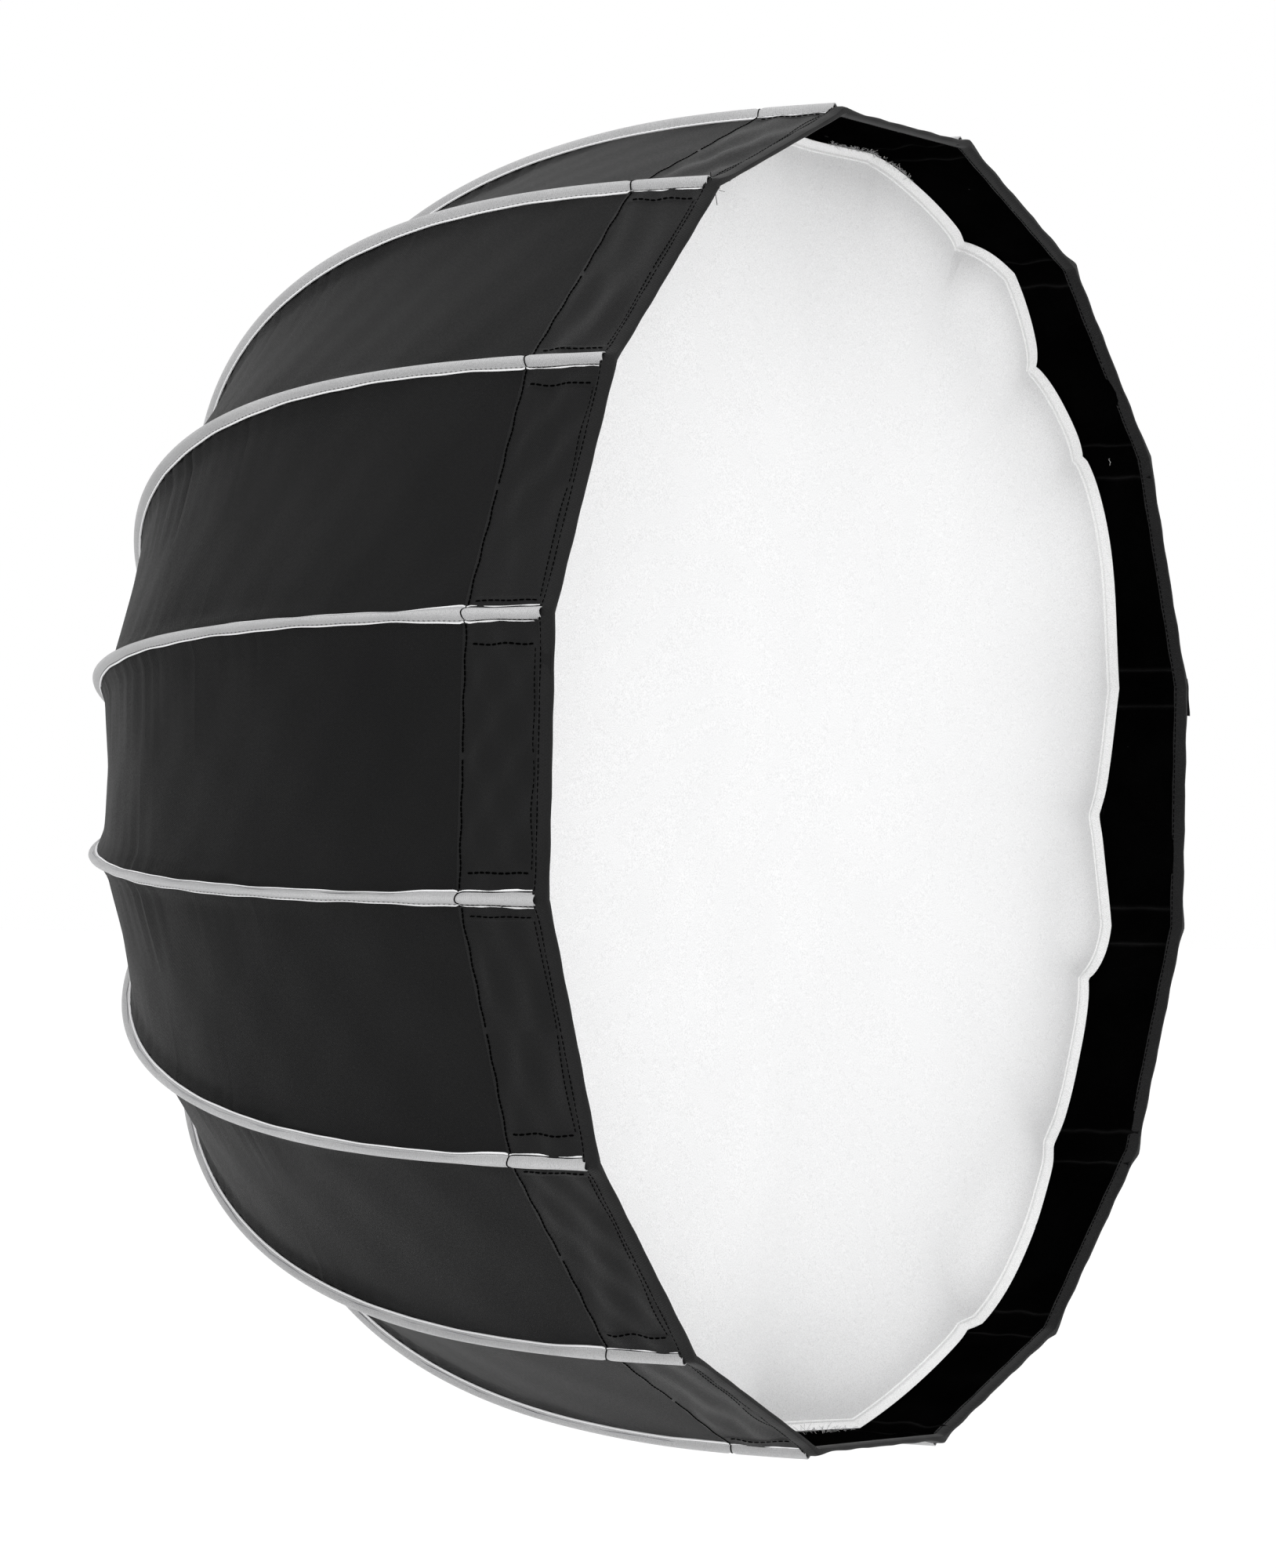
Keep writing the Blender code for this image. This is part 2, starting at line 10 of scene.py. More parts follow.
import bpy
import json
import numpy as np
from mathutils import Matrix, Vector


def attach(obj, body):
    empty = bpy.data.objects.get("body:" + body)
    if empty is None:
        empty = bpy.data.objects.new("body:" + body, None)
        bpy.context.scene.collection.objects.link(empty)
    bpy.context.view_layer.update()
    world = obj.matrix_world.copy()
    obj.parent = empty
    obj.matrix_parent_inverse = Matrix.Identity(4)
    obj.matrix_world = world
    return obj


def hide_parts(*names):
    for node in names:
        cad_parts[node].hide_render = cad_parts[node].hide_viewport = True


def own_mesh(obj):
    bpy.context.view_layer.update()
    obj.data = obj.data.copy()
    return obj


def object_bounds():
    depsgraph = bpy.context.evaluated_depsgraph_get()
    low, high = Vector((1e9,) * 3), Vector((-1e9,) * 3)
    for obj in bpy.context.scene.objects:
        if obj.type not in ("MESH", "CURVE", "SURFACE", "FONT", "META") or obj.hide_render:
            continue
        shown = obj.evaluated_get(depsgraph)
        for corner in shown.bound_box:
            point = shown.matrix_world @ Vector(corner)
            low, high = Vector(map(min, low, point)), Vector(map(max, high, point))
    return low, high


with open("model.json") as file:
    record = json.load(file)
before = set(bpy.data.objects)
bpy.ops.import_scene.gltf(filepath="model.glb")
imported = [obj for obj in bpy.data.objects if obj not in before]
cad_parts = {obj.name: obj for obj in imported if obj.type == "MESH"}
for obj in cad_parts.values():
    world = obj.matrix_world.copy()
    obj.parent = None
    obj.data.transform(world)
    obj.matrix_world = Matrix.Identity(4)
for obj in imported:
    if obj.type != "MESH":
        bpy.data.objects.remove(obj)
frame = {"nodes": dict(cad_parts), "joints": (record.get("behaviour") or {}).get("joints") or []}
cad_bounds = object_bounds()

# Driving values: where the CAD says, then the cloth's own sizes in metres

joints = {joint["name"]: joint for joint in frame["joints"]}
hinge = Vector(joints["rib_01_fold"]["pos_m"])
FOLD = math.radians(joints["rib_01_fold"]["range_deg"][1])
HINGE_FORWARD = -hinge.y
HINGE_RADIUS = math.hypot(hinge.x, hinge.z)
FIRST_RIB = math.atan2(hinge.x, hinge.z)
RIBS = sorted(name[4:] for name in frame["nodes"] if name.startswith("rib_"))
PITCH = 2 * math.pi / len(RIBS)

ROD_RIM_RADIUS = 0.447
DISH_DEPTH = 0.504
DEPTH_POWER = 2.7
RADIUS_POWER = 2.9

CLOTH = 0.0008
CLOTH_REAR_RADIUS = 0.0872
REAR_HEM = 0.0065
CLOTH_CROSSING = (0.150, 0.190)  # between these radii the cloth crosses from outside to inside
CLOTH_OUTSIDE = 0.0059  # its outer face from the rod's centre line near the hub
CLOTH_INSIDE = -0.0028  # and along the rest of the rod
PANEL_WIDTH = 0.17  # about, where it is widest
LIP = 0.063  # from the rim back to the cross seam
SEAM_LINE = LIP - 0.0012
LIP_LIFT = 0.0007
LOOP_FACE = -0.0012  # the hook-and-loop's face, inside the lip
LOOP_CUT = 0.0132  # its cut ends, either side of each rib
LOOP_CUT_WIDTH = 0.0011
LOOP_CLOTH_END = 0.102  # it goes on behind the cross seam, to here
TAB_HALF = 0.0158
TAB_STITCH = 0.0135
# How far each tab sits off its rib, clockwise; hand sewn, so no two are alike
TAB_SHIFT = {"16": -0.001, "15": -0.003, "14": -0.005, "13": 0.002, "12": 0.005, "11": 0.005}
BINDING = 0.0085
TIP_BULGE = 0.0020  # how far the rim tape stands out over each rod's tip
TIP_BULGE_WIDTH = 0.0095
TAPE_END = "05"  # the rib where the rim tape's ends meet
SLEEVE_CREST = 0.0029
SLEEVE_HALF_WIDTH = 0.0056
SLEEVE_FRONT = 0.0065
SLEEVE_REAR_RADIUS = 0.168
SLEEVE_CLOTH = 0.0007
DIFFUSER_SETBACK = 0.060
DIFFUSER_RADIUS = 0.43  # about
DIFFUSER_GAP = 0.0008  # between its edge and the lip
DIFFUSER_CLOTH = 0.0008
WEDGES = 32
# Round the mouth, clockwise from the top in degrees: each tuck of the diffuser's edge, how far
# the edge bows forward before the next one, and how late in that stretch the bow is highest
TUCKS = (
    (-175, 0.006, 0.8), (-152, 0.010, 0.8), (-128, 0.007, 0.8), (-107, 0.011, 0.8),
    (-83, 0.008, 0.8), (-60, 0.010, 0.8), (-38, 0.008, 0.8), (-15, 0.005, 0.8),
    (14, 0.006, 0.8), (30, 0.015, 0.8), (47, 0.006, 0.8), (58, 0.007, 0.8),
    (93, 0.0115, 2.0), (109, 0.004, 0.8), (126, 0.0145, 1.4), (150, 0.005, 0.8),
)
# Where that edge is fixed further back than elsewhere: place, how much, and over what width
EDGE_DIPS = ((4, 0.018, 11), (19, 0.004, 8), (64, -0.016, 14), (100, 0.006, 12), (181, 0.018, 11))
EDGE_TAPE_RISE = 0.0060  # how far the diffuser's edge tape stands forward along the lip
REAR_BANDS = 8
TUCK = 0.0045  # each piece goes on under its neighbours by this much
TUCK_DEPTH = 0.0011
PANEL_COLUMNS = 14  # from one rib to mid-panel
BAND_STEP = 0.0065
LIP_STEP = 0.0033
SHARP_EDGE = math.radians(42)
FIBRE_POINTS = 5
UPWARD = 0.01  # a second point this far out gives a thread its upward direction

# Slow hollows of a panel: share of the depth, and wave lengths along the rib and across it
HOLLOWS = ((1.0, 0.17, 0.23), (0.6, 0.083, -0.12), (0.35, 0.047, 0.08))
HOLLOW_DEPTH = 0.00045
SAG_DEPTH = 0.0055
PUCKER_PITCH = 0.0135

# Length, gap, width and height of the stitches
CROSS_STITCH = {"length": 0.0034, "gap": 0.0002, "width": 0.0011, "height": 0.0008}
RIM_STITCH = {"length": 0.0026, "gap": 0.0010, "width": 0.0007, "height": 0.0006}
TAB_THREAD = {"length": 0.0036, "gap": 0.0009, "height": 0.0009}
TAPE_STITCH = {"length": 0.0028, "gap": 0.0009, "width": 0.0007}
SLEEVE_STITCH = {"length": 0.0016, "gap": 0.0022, "width": 0.0007}

FLOOR_BELOW = 0.6

rng = np.random.default_rng(16)


# Profile of the dish: s is the distance along the rod, back from the rim


def profile_table():
    """Forward position, radius and outward normal of the rod's centre line, against s."""
    short_of_axis = 0.02
    t = np.linspace(0.0, math.pi / 2 - short_of_axis, 3000)
    behind = DISH_DEPTH * np.sin(t) ** (2 / DEPTH_POWER)
    radius = ROD_RIM_RADIUS * np.cos(t) ** (2 / RADIUS_POWER)
    at_hinge = np.interp(-HINGE_RADIUS, -radius, behind)
    forward = HINGE_FORWARD + at_hinge - behind
    s = np.concatenate([[0.0], np.cumsum(np.hypot(np.diff(forward), np.diff(radius)))])
    ahead = 0.02  # the table runs on past the rim, straight forward
    s = np.concatenate([[-ahead], s])
    forward = np.concatenate([[forward[0] + ahead], forward])
    radius = np.concatenate([[radius[0]], radius])
    along_forward = np.gradient(forward, s)
    along_radius = np.gradient(radius, s)
    return s, forward, radius, along_radius, -along_forward


TABLE_S, TABLE_FORWARD, TABLE_RADIUS, NORMAL_FORWARD, NORMAL_RADIUS = profile_table()


def forward_at(s):
    return np.interp(s, TABLE_S, TABLE_FORWARD)


def radius_at(s):
    return np.interp(s, TABLE_S, TABLE_RADIUS)


def s_at_radius(radius):
    return float(np.interp(-radius, -TABLE_RADIUS[1:], TABLE_S[1:]))


def smooth(x):
    x = np.clip(x, 0.0, 1.0)
    return x * x * (3 - 2 * x)


def bell(x, centre, width):
    return np.exp(-(((x - centre) / width) ** 2))


CLOTH_END = s_at_radius(CLOTH_REAR_RADIUS)
SLEEVE_END = s_at_radius(SLEEVE_REAR_RADIUS)


def cloth_offset(s):
    """The cloth's outer face from the rod's centre line, outward."""
    low, high = CLOTH_CROSSING
    inside = smooth((radius_at(s) - low) / (high - low))
    return CLOTH_OUTSIDE + (CLOTH_INSIDE - CLOTH_OUTSIDE) * inside


# Relief of the cloth: sag, puckers at the seams and wrinkles, the same from both sides of a panel

panel_phase = rng.uniform(0, 2 * math.pi, (len(RIBS), 8))
panel_skew = rng.uniform(-1, 1, (len(RIBS), 4))


def waves(panel, x, s):
    """Slow hollows in a panel, about 1 mm deep."""
    total = 0.0
    for (share, along, across), phase in zip(HOLLOWS, panel_phase[panel]):
        total = total + share * np.sin(2 * math.pi * (s / along + x / across) + phase)
    return total * HOLLOW_DEPTH


def puckers(rib, s, away, ahead):
    """Fine gathers from the sleeve's stitching, longer towards the back and behind the rib."""
    p = panel_phase[rib % len(RIBS)]
    back = smooth((s - 0.16) / 0.22) * (1 - smooth((s - 0.50) / 0.08))
    wobble = 0.0035 * np.sin(s / 0.031 + p[3]) + 0.002 * np.sin(s / 0.011 + p[4])
    fine = np.sin(2 * math.pi * (s + wobble) / PUCKER_PITCH + p[5])
    patch = 0.35 + 0.65 * np.sin(s / 0.045 + p[6]) ** 2
    side = 1.0 if ahead else 1.8
    reach = (0.008 + 0.030 * back) * (0.6 + 0.4 * side)
    depth = 0.00018 + 0.00055 * back
    return fine * patch * depth * side * np.exp(-away / reach)


def lip_wrinkles(panel, x, half, s):
    """Soft slanting pulls between the rim and the cross seam."""
    p = panel_phase[panel]
    skew = panel_skew[panel]
    fade = 0.012
    window = smooth(s / fade) * smooth((LIP - s) / fade)
    slant = 0.55 + 0.35 * skew[0]
    first = np.sin(2 * math.pi * (s + slant * x) / 0.034 + p[3])
    second = np.sin(2 * math.pi * (s - (0.35 + 0.2 * skew[1]) * x) / 0.026 + p[4])
    place = bell(x, half * 0.75 * skew[2], half * 0.8)
    return window * (0.0013 * first * place + 0.0006 * second)


def sag(s):
    """How far the middle of a panel hangs inside the straight chord, in its curved back part."""
    return SAG_DEPTH * smooth((s - 0.12) / 0.16) * (1 - 0.75 * smooth((s - 0.48) / 0.12))


def relief(rib, u, s):
    """Height of the cloth off the straight chord from rib to rib; u runs from -0.5 to 0.5."""
    width = radius_at(s) * math.sin(PITCH)
    half = width / 2
    panel = rib if u >= 0 else (rib - 1) % len(RIBS)
    across = u if u >= 0 else 1 + u
    x = (across - 0.5) * width
    away = np.abs(u) * width
    held = smooth(away / 0.016)
    total = -sag(s) * (0.75 * held + 0.25 * smooth(away / half))
    total = total + waves(panel, x, s) * held
    total = total + puckers(rib, s, away, u >= 0) * smooth((half - away) / 0.012)
    return total + lip_wrinkles(panel, x, half, s) * held


def turn_to(rib, x, forward, z):
    """Points from a rib's own plane, x across and z outward, into the object's frame."""
    angle = FIRST_RIB + rib * PITCH
    return np.stack(
        [
            x * math.cos(angle) + z * math.sin(angle),
            -np.asarray(forward) * np.ones_like(x),
            -x * math.sin(angle) + z * math.cos(angle),
        ],
        axis=-1,
    )


def on_dish(rib, u, s, lift, with_relief=True):
    """One column of points of the cloth at u, for every s."""
    radius = radius_at(s)
    x = u * radius * math.sin(PITCH)
    z = radius * (1 - abs(u) * (1 - math.cos(PITCH)))
    turned = np.arctan2(x, z)
    height = cloth_offset(s) + lift
    if with_relief:
        height = height + relief(rib, u, s)
    slope_forward = np.interp(s, TABLE_S, NORMAL_FORWARD)
    slope_radius = np.interp(s, TABLE_S, NORMAL_RADIUS)
    forward = forward_at(s) + slope_forward * height
    x = x + slope_radius * height * np.sin(turned)
    z = z + slope_radius * height * np.cos(turned)
    return turn_to(rib, x, forward, z)


def beside_rod(rib, x, lift, s):
    """Points at distance x across from a rod's centre line and lift out from it."""
    slope_forward = np.interp(s, TABLE_S, NORMAL_FORWARD)
    slope_radius = np.interp(s, TABLE_S, NORMAL_RADIUS)
    forward = forward_at(s) + slope_forward * lift
    z = radius_at(s) + slope_radius * lift
    return turn_to(rib, np.ones_like(s) * x, forward, z)


# Mesh building


class Shape:
    """Gathers points and faces of one piece: material index, UV in metres, painted light and lint
    per point.
    """

    def __init__(self):
        self.points = []
        self.faces = []
        self.materials = []
        self.uv = []
        self.painted_light_and_lint = []
        self.count = 0

    def add(self, points, faces, material, uv=None, painted_light_and_lint=None):
        """Adds faces that count from their own first point; material is an index or a list."""
        points = np.asarray(points).reshape(-1, 3)
        blank = np.zeros(len(points))
        self.points.append(points)
        self.uv.append(np.zeros((len(points), 2)) if uv is None else np.asarray(uv).reshape(-1, 2))
        self.painted_light_and_lint.append(blank if painted_light_and_lint is None else np.asarray(painted_light_and_lint).reshape(-1))
        self.faces += [tuple(int(v) + self.count for v in face) for face in faces]
        self.materials += material if isinstance(material, list) else [material] * len(faces)
        self.count += len(points)

    def solid(self, outer, inner, materials=(0, 0), uv=None, painted_light_and_lint=None, inner_painted_light_and_lint=None):
        """A closed sheet between two grids of points of the same shape."""
        rows, columns = outer.shape[:2]
        step = rows * columns
        index = np.arange(step).reshape(rows, columns)
        a, b = index[:-1, :-1].ravel(), index[1:, :-1].ravel()
        c, d = index[1:, 1:].ravel(), index[:-1, 1:].ravel()
        top = np.stack([a, b, c, d], axis=1)
        under = np.stack([d, c, b, a], axis=1) + step
        ring = np.concatenate([index[0, :], index[1:, -1], index[-1, -2::-1], index[-2:0:-1, 0]])
        after = np.roll(ring, -1)
        sides = np.stack([ring, after, after + step, ring + step], axis=1)
        faces = np.concatenate([top, under, sides])
        points = np.concatenate([outer.reshape(-1, 3), inner.reshape(-1, 3)])
        if volume(points, faces) < 0:
            faces = faces[:, ::-1]
        lining = materials[1] if isinstance(materials[1], list) else [materials[1]] * (rows - 1)
        material = [materials[0]] * len(top)
        material += [value for value in lining for _ in range(columns - 1)]
        material += [materials[0]] * len(sides)
        if uv is not None:
            uv = np.concatenate([uv.reshape(-1, 2)] * 2)
        if painted_light_and_lint is not None:
            inner_painted_light_and_lint = painted_light_and_lint if inner_painted_light_and_lint is None else inner_painted_light_and_lint
            painted_light_and_lint = np.concatenate([painted_light_and_lint.reshape(-1), inner_painted_light_and_lint.reshape(-1)])
        self.add(points, faces, material, uv, painted_light_and_lint)

    def tube(self, path, across, up, width, height, material, sides=8):
        """A closed oval tube along a path; across and up give its section's two directions."""
        turn = np.arange(sides) * 2 * math.pi / sides
        ring = np.cos(turn)[None, :, None] * across[:, None, :] * width / 2
        ring = ring + np.sin(turn)[None, :, None] * up[:, None, :] * height / 2
        points = path[:, None, :] + ring
        rows = len(path)
        index = np.arange(rows * sides).reshape(rows, sides)
        after = np.roll(index, -1, axis=1)
        walls = np.stack(
            [index[:-1].ravel(), after[:-1].ravel(), after[1:].ravel(), index[1:].ravel()], axis=1
        )
        faces = [tuple(f) for f in walls] + [tuple(index[0][::-1]), tuple(index[-1])]
        flat = points.reshape(-1, 3)
        if volume(flat, walls) < 0:
            faces = [f[::-1] for f in faces]
        along = np.concatenate([[0], np.cumsum(np.linalg.norm(np.diff(path, axis=0), axis=1))])
        self.add(flat, faces, material, uv_grid(turn * width / 4, along))

    def stitches(self, path, up, material, length=0.0026, gap=0.0011, width=0.0005, height=0.0005):
        """A row of short threads along a path, each a small closed body with pulled-in ends."""
        steps = np.linalg.norm(np.diff(path, axis=0), axis=1)
        along = np.concatenate([[0], np.cumsum(steps)])
        for start in np.arange(gap, along[-1] - length, length + gap):
            at = start + length * np.array([0.0, 0.2, 0.8, 1.0])
            line = np.stack([np.interp(at, along, path[:, k]) for k in range(3)], axis=1)
            raised = np.stack([np.interp(at, along, up[:, k]) for k in range(3)], axis=1)
            raised /= np.linalg.norm(raised, axis=1)[:, None]
            ahead = line[-1] - line[0]
            side = np.cross(ahead / max(np.linalg.norm(ahead), 1e-9), raised)
            sizes = np.array([0.35, 1.0, 1.0, 0.35])[:, None]
            self.tube(
                line + raised * height * 0.15 * sizes,
                side * sizes,
                raised * sizes,
                width,
                height,
                material,
                sides=5,
            )

    def object(self, name, materials):
        """The Blender object of everything that was added."""
        mesh = bpy.data.meshes.new(name)
        mesh.from_pydata(np.concatenate(self.points).tolist(), [], self.faces)
        for material in materials:
            mesh.materials.append(material)
        mesh.polygons.foreach_set("material_index", self.materials)
        uv = np.concatenate(self.uv)
        corners = np.empty(len(mesh.loops), np.int32)
        mesh.loops.foreach_get("vertex_index", corners)
        layer = mesh.uv_layers.new(name="cloth")
        layer.data.foreach_set("uv", uv[corners].astype(np.float32).ravel())
        painted_light_and_lint = mesh.attributes.new("painted_light_and_lint", "FLOAT", "POINT")
        painted_light_and_lint.data.foreach_set("value", np.concatenate(self.painted_light_and_lint).astype(np.float32))
        mesh.update()
        mesh.shade_smooth()
        mesh.set_sharp_from_angle(angle=SHARP_EDGE)
        made = bpy.data.objects.new(name, mesh)
        looks.objects.link(made)
        return made


def volume(points, quads):
    """Signed volume of a closed mesh of four-sided faces."""
    quads = np.asarray(quads)
    a, b, c, d = (points[quads[:, k]] for k in range(4))
    first = np.einsum("ij,ij->i", a, np.cross(b, c))
    second = np.einsum("ij,ij->i", a, np.cross(c, d))
    return float((first + second).sum() / 6)


# Materials


def new_material(name):
    material = bpy.data.materials.new(name)
    material.use_nodes = True
    return material, material.node_tree


def add_node(tree, kind, **values):
    """A shader node with its properties and its named inputs set."""
    made = tree.nodes.new(kind)
    for key, value in values.items():
        if hasattr(made, key):
            setattr(made, key, value)
        else:
            made.inputs[key.replace("_", " ")].default_value = value
    return made


def set_shader(tree, **values):
    shader = tree.nodes["Principled BSDF"]
    for key, value in values.items():
        shader.inputs[key.replace("_", " ")].default_value = value
    return shader


def object_place(tree):
    return tree.nodes.new("ShaderNodeTexCoord").outputs["Object"]


def mix_colour(tree, factor, first, second):
    """Mixes two colours; each of the three may be a value or a socket."""
    mix = tree.nodes.new("ShaderNodeMix")
    mix.data_type = "RGBA"
    for socket, value in ((mix.inputs[0], factor), (mix.inputs[6], first), (mix.inputs[7], second)):
        if isinstance(value, bpy.types.NodeSocket):
            tree.links.new(value, socket)
        else:
            socket.default_value = value if isinstance(value, float) else (*value, 1.0)
    return mix.outputs[2]


def noise(tree, coordinate, scale, detail=3.0, roughness=0.5):
    made = add_node(tree, "ShaderNodeTexNoise", Scale=scale, Detail=detail, Roughness=roughness)
    tree.links.new(coordinate, made.inputs["Vector"])
    return made.outputs["Fac"]


def spread(tree, value, low, high, to_low=0.0, to_high=1.0):
    """Maps a value's range from low to high onto another range."""
    made = tree.nodes.new("ShaderNodeMapRange")
    tree.links.new(value, made.inputs["Value"])
    limits = {"From Min": low, "From Max": high, "To Min": to_low, "To Max": to_high}
    for key, number in limits.items():
        made.inputs[key].default_value = number
    return made.outputs["Result"]


def arithmetic(tree, operation, *values):
    made = tree.nodes.new("ShaderNodeMath")
    made.operation = operation
    for socket, value in zip(made.inputs, values):
        if isinstance(value, bpy.types.NodeSocket):
            tree.links.new(value, socket)
        else:
            socket.default_value = value
    return made.outputs[0]


def weave_height(tree, thread, diagonal=0.0):
    """Height of a plain weave, or of a twill when diagonal is set, read from the UV in metres."""
    where = add_node(tree, "ShaderNodeUVMap", uv_map="cloth")
    split = tree.nodes.new("ShaderNodeSeparateXYZ")
    tree.links.new(where.outputs["UV"], split.inputs[0])
    u, v = split.outputs[0], split.outputs[1]
    if diagonal:
        v = arithmetic(tree, "MULTIPLY_ADD", u, diagonal, v)
    sines = []
    for direction in (u, v):
        turns = arithmetic(tree, "MULTIPLY", direction, math.pi / thread)
        sines.append(arithmetic(tree, "SINE", turns))
    return arithmetic(tree, "MULTIPLY", *sines)


def bump(tree, height, distance, strength, before=None):
    made = add_node(tree, "ShaderNodeBump", Strength=strength, Distance=distance)
    tree.links.new(height, made.inputs["Height"])
    if before is not None:
        tree.links.new(before, made.inputs["Normal"])
    return made.outputs["Normal"]


def cloth_material(
    name,
    colour,
    other,
    thread,
    sheen,
    roughness,
    painted_light_colour=None,
    diagonal=0.0,
    specular=0.15,
    fuzz=0.25,
):
    """Woven cloth: threads, slow and fine colour changes, sheen, and a painted light colour by
    mask.
    """
    material, tree = new_material(name)
    shader = set_shader(
        tree,
        Roughness=roughness,
        Specular_IOR_Level=specular,
        Sheen_Weight=sheen,
        Sheen_Roughness=0.35,
    )
    height = weave_height(tree, thread, diagonal)
    where = object_place(tree)
    slow = noise(tree, where, 9.0, 4.0)
    fine = noise(tree, where, 900.0, 2.0)
    mixed = mix_colour(tree, spread(tree, slow, 0.35, 0.65), colour, other)
    grain = noise(tree, where, 1500.0, 2.0)
    darker = [c * 0.72 for c in colour]
    mixed = mix_colour(tree, spread(tree, grain, 0.4, 0.7, 0.0, 0.8), mixed, darker)
    lighter = [min(1.0, c * 1.35) for c in other]
    threads = spread(tree, height, 0.1, 1.0, 0.0, 0.35)
    mixed = mix_colour(tree, threads, mixed, lighter)
    if painted_light_colour is not None:
        painted_light_and_lint = add_node(tree, "ShaderNodeAttribute", attribute_name="painted_light_and_lint")
        mixed = mix_colour(tree, painted_light_and_lint.outputs["Fac"], mixed, painted_light_colour)
    tree.links.new(mixed, shader.inputs["Base Color"])
    rough = spread(tree, fine, 0.3, 0.7, roughness - 0.08, roughness + 0.08)
    tree.links.new(rough, shader.inputs["Roughness"])
    normal = bump(tree, height, 0.00025, 0.35)
    normal = bump(tree, fine, 0.0003, fuzz, normal)
    tree.links.new(normal, shader.inputs["Normal"])
    return material


def napped_material(name, colour, speck, seam_colour):
    """Hook-and-loop cloth: a deep pile with a few lint specks."""
    material, tree = new_material(name)
    shader = set_shader(tree, Roughness=0.95, Specular_IOR_Level=0.0)
    where = object_place(tree)
    pile = noise(tree, where, 1400.0, 4.0, 0.75)
    lint = noise(tree, where, 240.0, 6.0, 0.65)
    slow = noise(tree, where, 22.0, 3.0)
    specks = spread(tree, lint, 0.735, 0.76)
    lifted = [c * 2.2 for c in colour]
    mixed = mix_colour(tree, spread(tree, slow, 0.35, 0.7), colour, lifted)
    mixed = mix_colour(tree, spread(tree, pile, 0.55, 0.8, 0.0, 0.6), mixed, lifted)
    mixed = mix_colour(tree, specks, mixed, speck)
    ridge = add_node(tree, "ShaderNodeAttribute", attribute_name="painted_light_and_lint")
    patchy = arithmetic(tree, "MULTIPLY", ridge.outputs["Fac"], slow)
    mixed = mix_colour(tree, patchy, mixed, seam_colour)
    tree.links.new(mixed, shader.inputs["Base Color"])
    tree.links.new(spread(tree, pile, 0.3, 0.7, 0.88, 1.0), shader.inputs["Roughness"])
    tree.links.new(bump(tree, pile, 0.0008, 0.9), shader.inputs["Normal"])
    return material


def lining_material(name):
    """Silver-coated lining with a fine pebbled crush."""
    material, tree = new_material(name)
    shader = set_shader(tree, Metallic=0.85, Roughness=0.34)
    where = object_place(tree)
    cells = add_node(tree, "ShaderNodeTexVoronoi", Scale=420.0)
    tree.links.new(where, cells.inputs["Vector"])
    slow = noise(tree, where, 14.0, 4.0)
    tone = spread(tree, slow, 0.3, 0.7)
    tree.links.new(
        mix_colour(tree, tone, (0.60, 0.60, 0.61), (0.72, 0.72, 0.73)),
        shader.inputs["Base Color"],
    )
    tree.links.new(spread(tree, slow, 0.3, 0.7, 0.28, 0.42), shader.inputs["Roughness"])
    tree.links.new(bump(tree, cells.outputs["Distance"], 0.0006, 0.6), shader.inputs["Normal"])
    return material


def hard_material(name, colour, metallic, roughness, grain, depth, scratch=0.0, specular=0.5):
    """Moulded or cast parts: fine grain, slow tone changes, and light scratches when asked."""
    material, tree = new_material(name)
    shader = set_shader(tree, Metallic=metallic, Roughness=roughness, Specular_IOR_Level=specular)
    where = object_place(tree)
    fine = noise(tree, where, grain, 3.0, 0.6)
    slow = noise(tree, where, 35.0, 4.0)
    worn = [min(1.0, c * 1.25 + 0.02 * specular) for c in colour]
    mixed = mix_colour(tree, spread(tree, slow, 0.4, 0.75), colour, worn)
    height = fine
    if scratch:
        stretched = add_node(tree, "ShaderNodeMapping", Scale=(1.0, 40.0, 1.0))
        tree.links.new(where, stretched.inputs["Vector"])
        lines = noise(tree, stretched.outputs["Vector"], 60.0, 5.0, 0.7)
        scratched = spread(tree, lines, 0.55, 0.8, 0.0, scratch)
        mixed = mix_colour(tree, scratched, mixed, worn)
        height = arithmetic(tree, "ADD", fine, lines)
    tree.links.new(mixed, shader.inputs["Base Color"])
    rough = spread(tree, slow, 0.3, 0.7, roughness - 0.07, roughness + 0.09)
    tree.links.new(rough, shader.inputs["Roughness"])
    tree.links.new(bump(tree, height, depth, 0.4), shader.inputs["Normal"])
    return material


# Pieces of cloth


def folded_share(s):
    """How wide the cloth is at s when the frame is folded, as a share of its open width."""
    flat = math.cos(PITCH / 2)  # mid-panel lies nearer the axis than the rib
    height = cloth_offset(s) - sag(s)
    ahead = forward_at(s) + np.interp(s, TABLE_S, NORMAL_FORWARD) * height - HINGE_FORWARD
    middle = (radius_at(s) * flat + np.interp(s, TABLE_S, NORMAL_RADIUS) * height) * flat
    folded = HINGE_RADIUS + (middle - HINGE_RADIUS) * math.cos(FOLD) - ahead * math.sin(FOLD)
    return folded / middle


def band_edges():
    """Splits the canopy behind the lip so that each band's width error on folding is the same."""
    s = np.linspace(LIP, CLOTH_END, 400)
    change = np.abs(np.diff(folded_share(s))) * radius_at(s[1:])
    total = np.concatenate([[0.0], np.cumsum(change)])
    return list(np.interp(np.linspace(0, total[-1], REAR_BANDS + 1), total, s))


def gather(piece, rib):
    """The piece rides on its rib's body, with a mesh of its own."""
    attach(piece, f"panel_{RIBS[rib]}")
    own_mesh(piece)


def cloth_columns():
    """u across a piece, closer together near the rib, where the cloth bends most."""
    side = np.linspace(0, 1, PANEL_COLUMNS + 1)[1:]
    even = 0.35
    side = 0.5 * (even * side + (1 - even) * side**1.6)
    return np.concatenate([-side[::-1], [0.0], side])


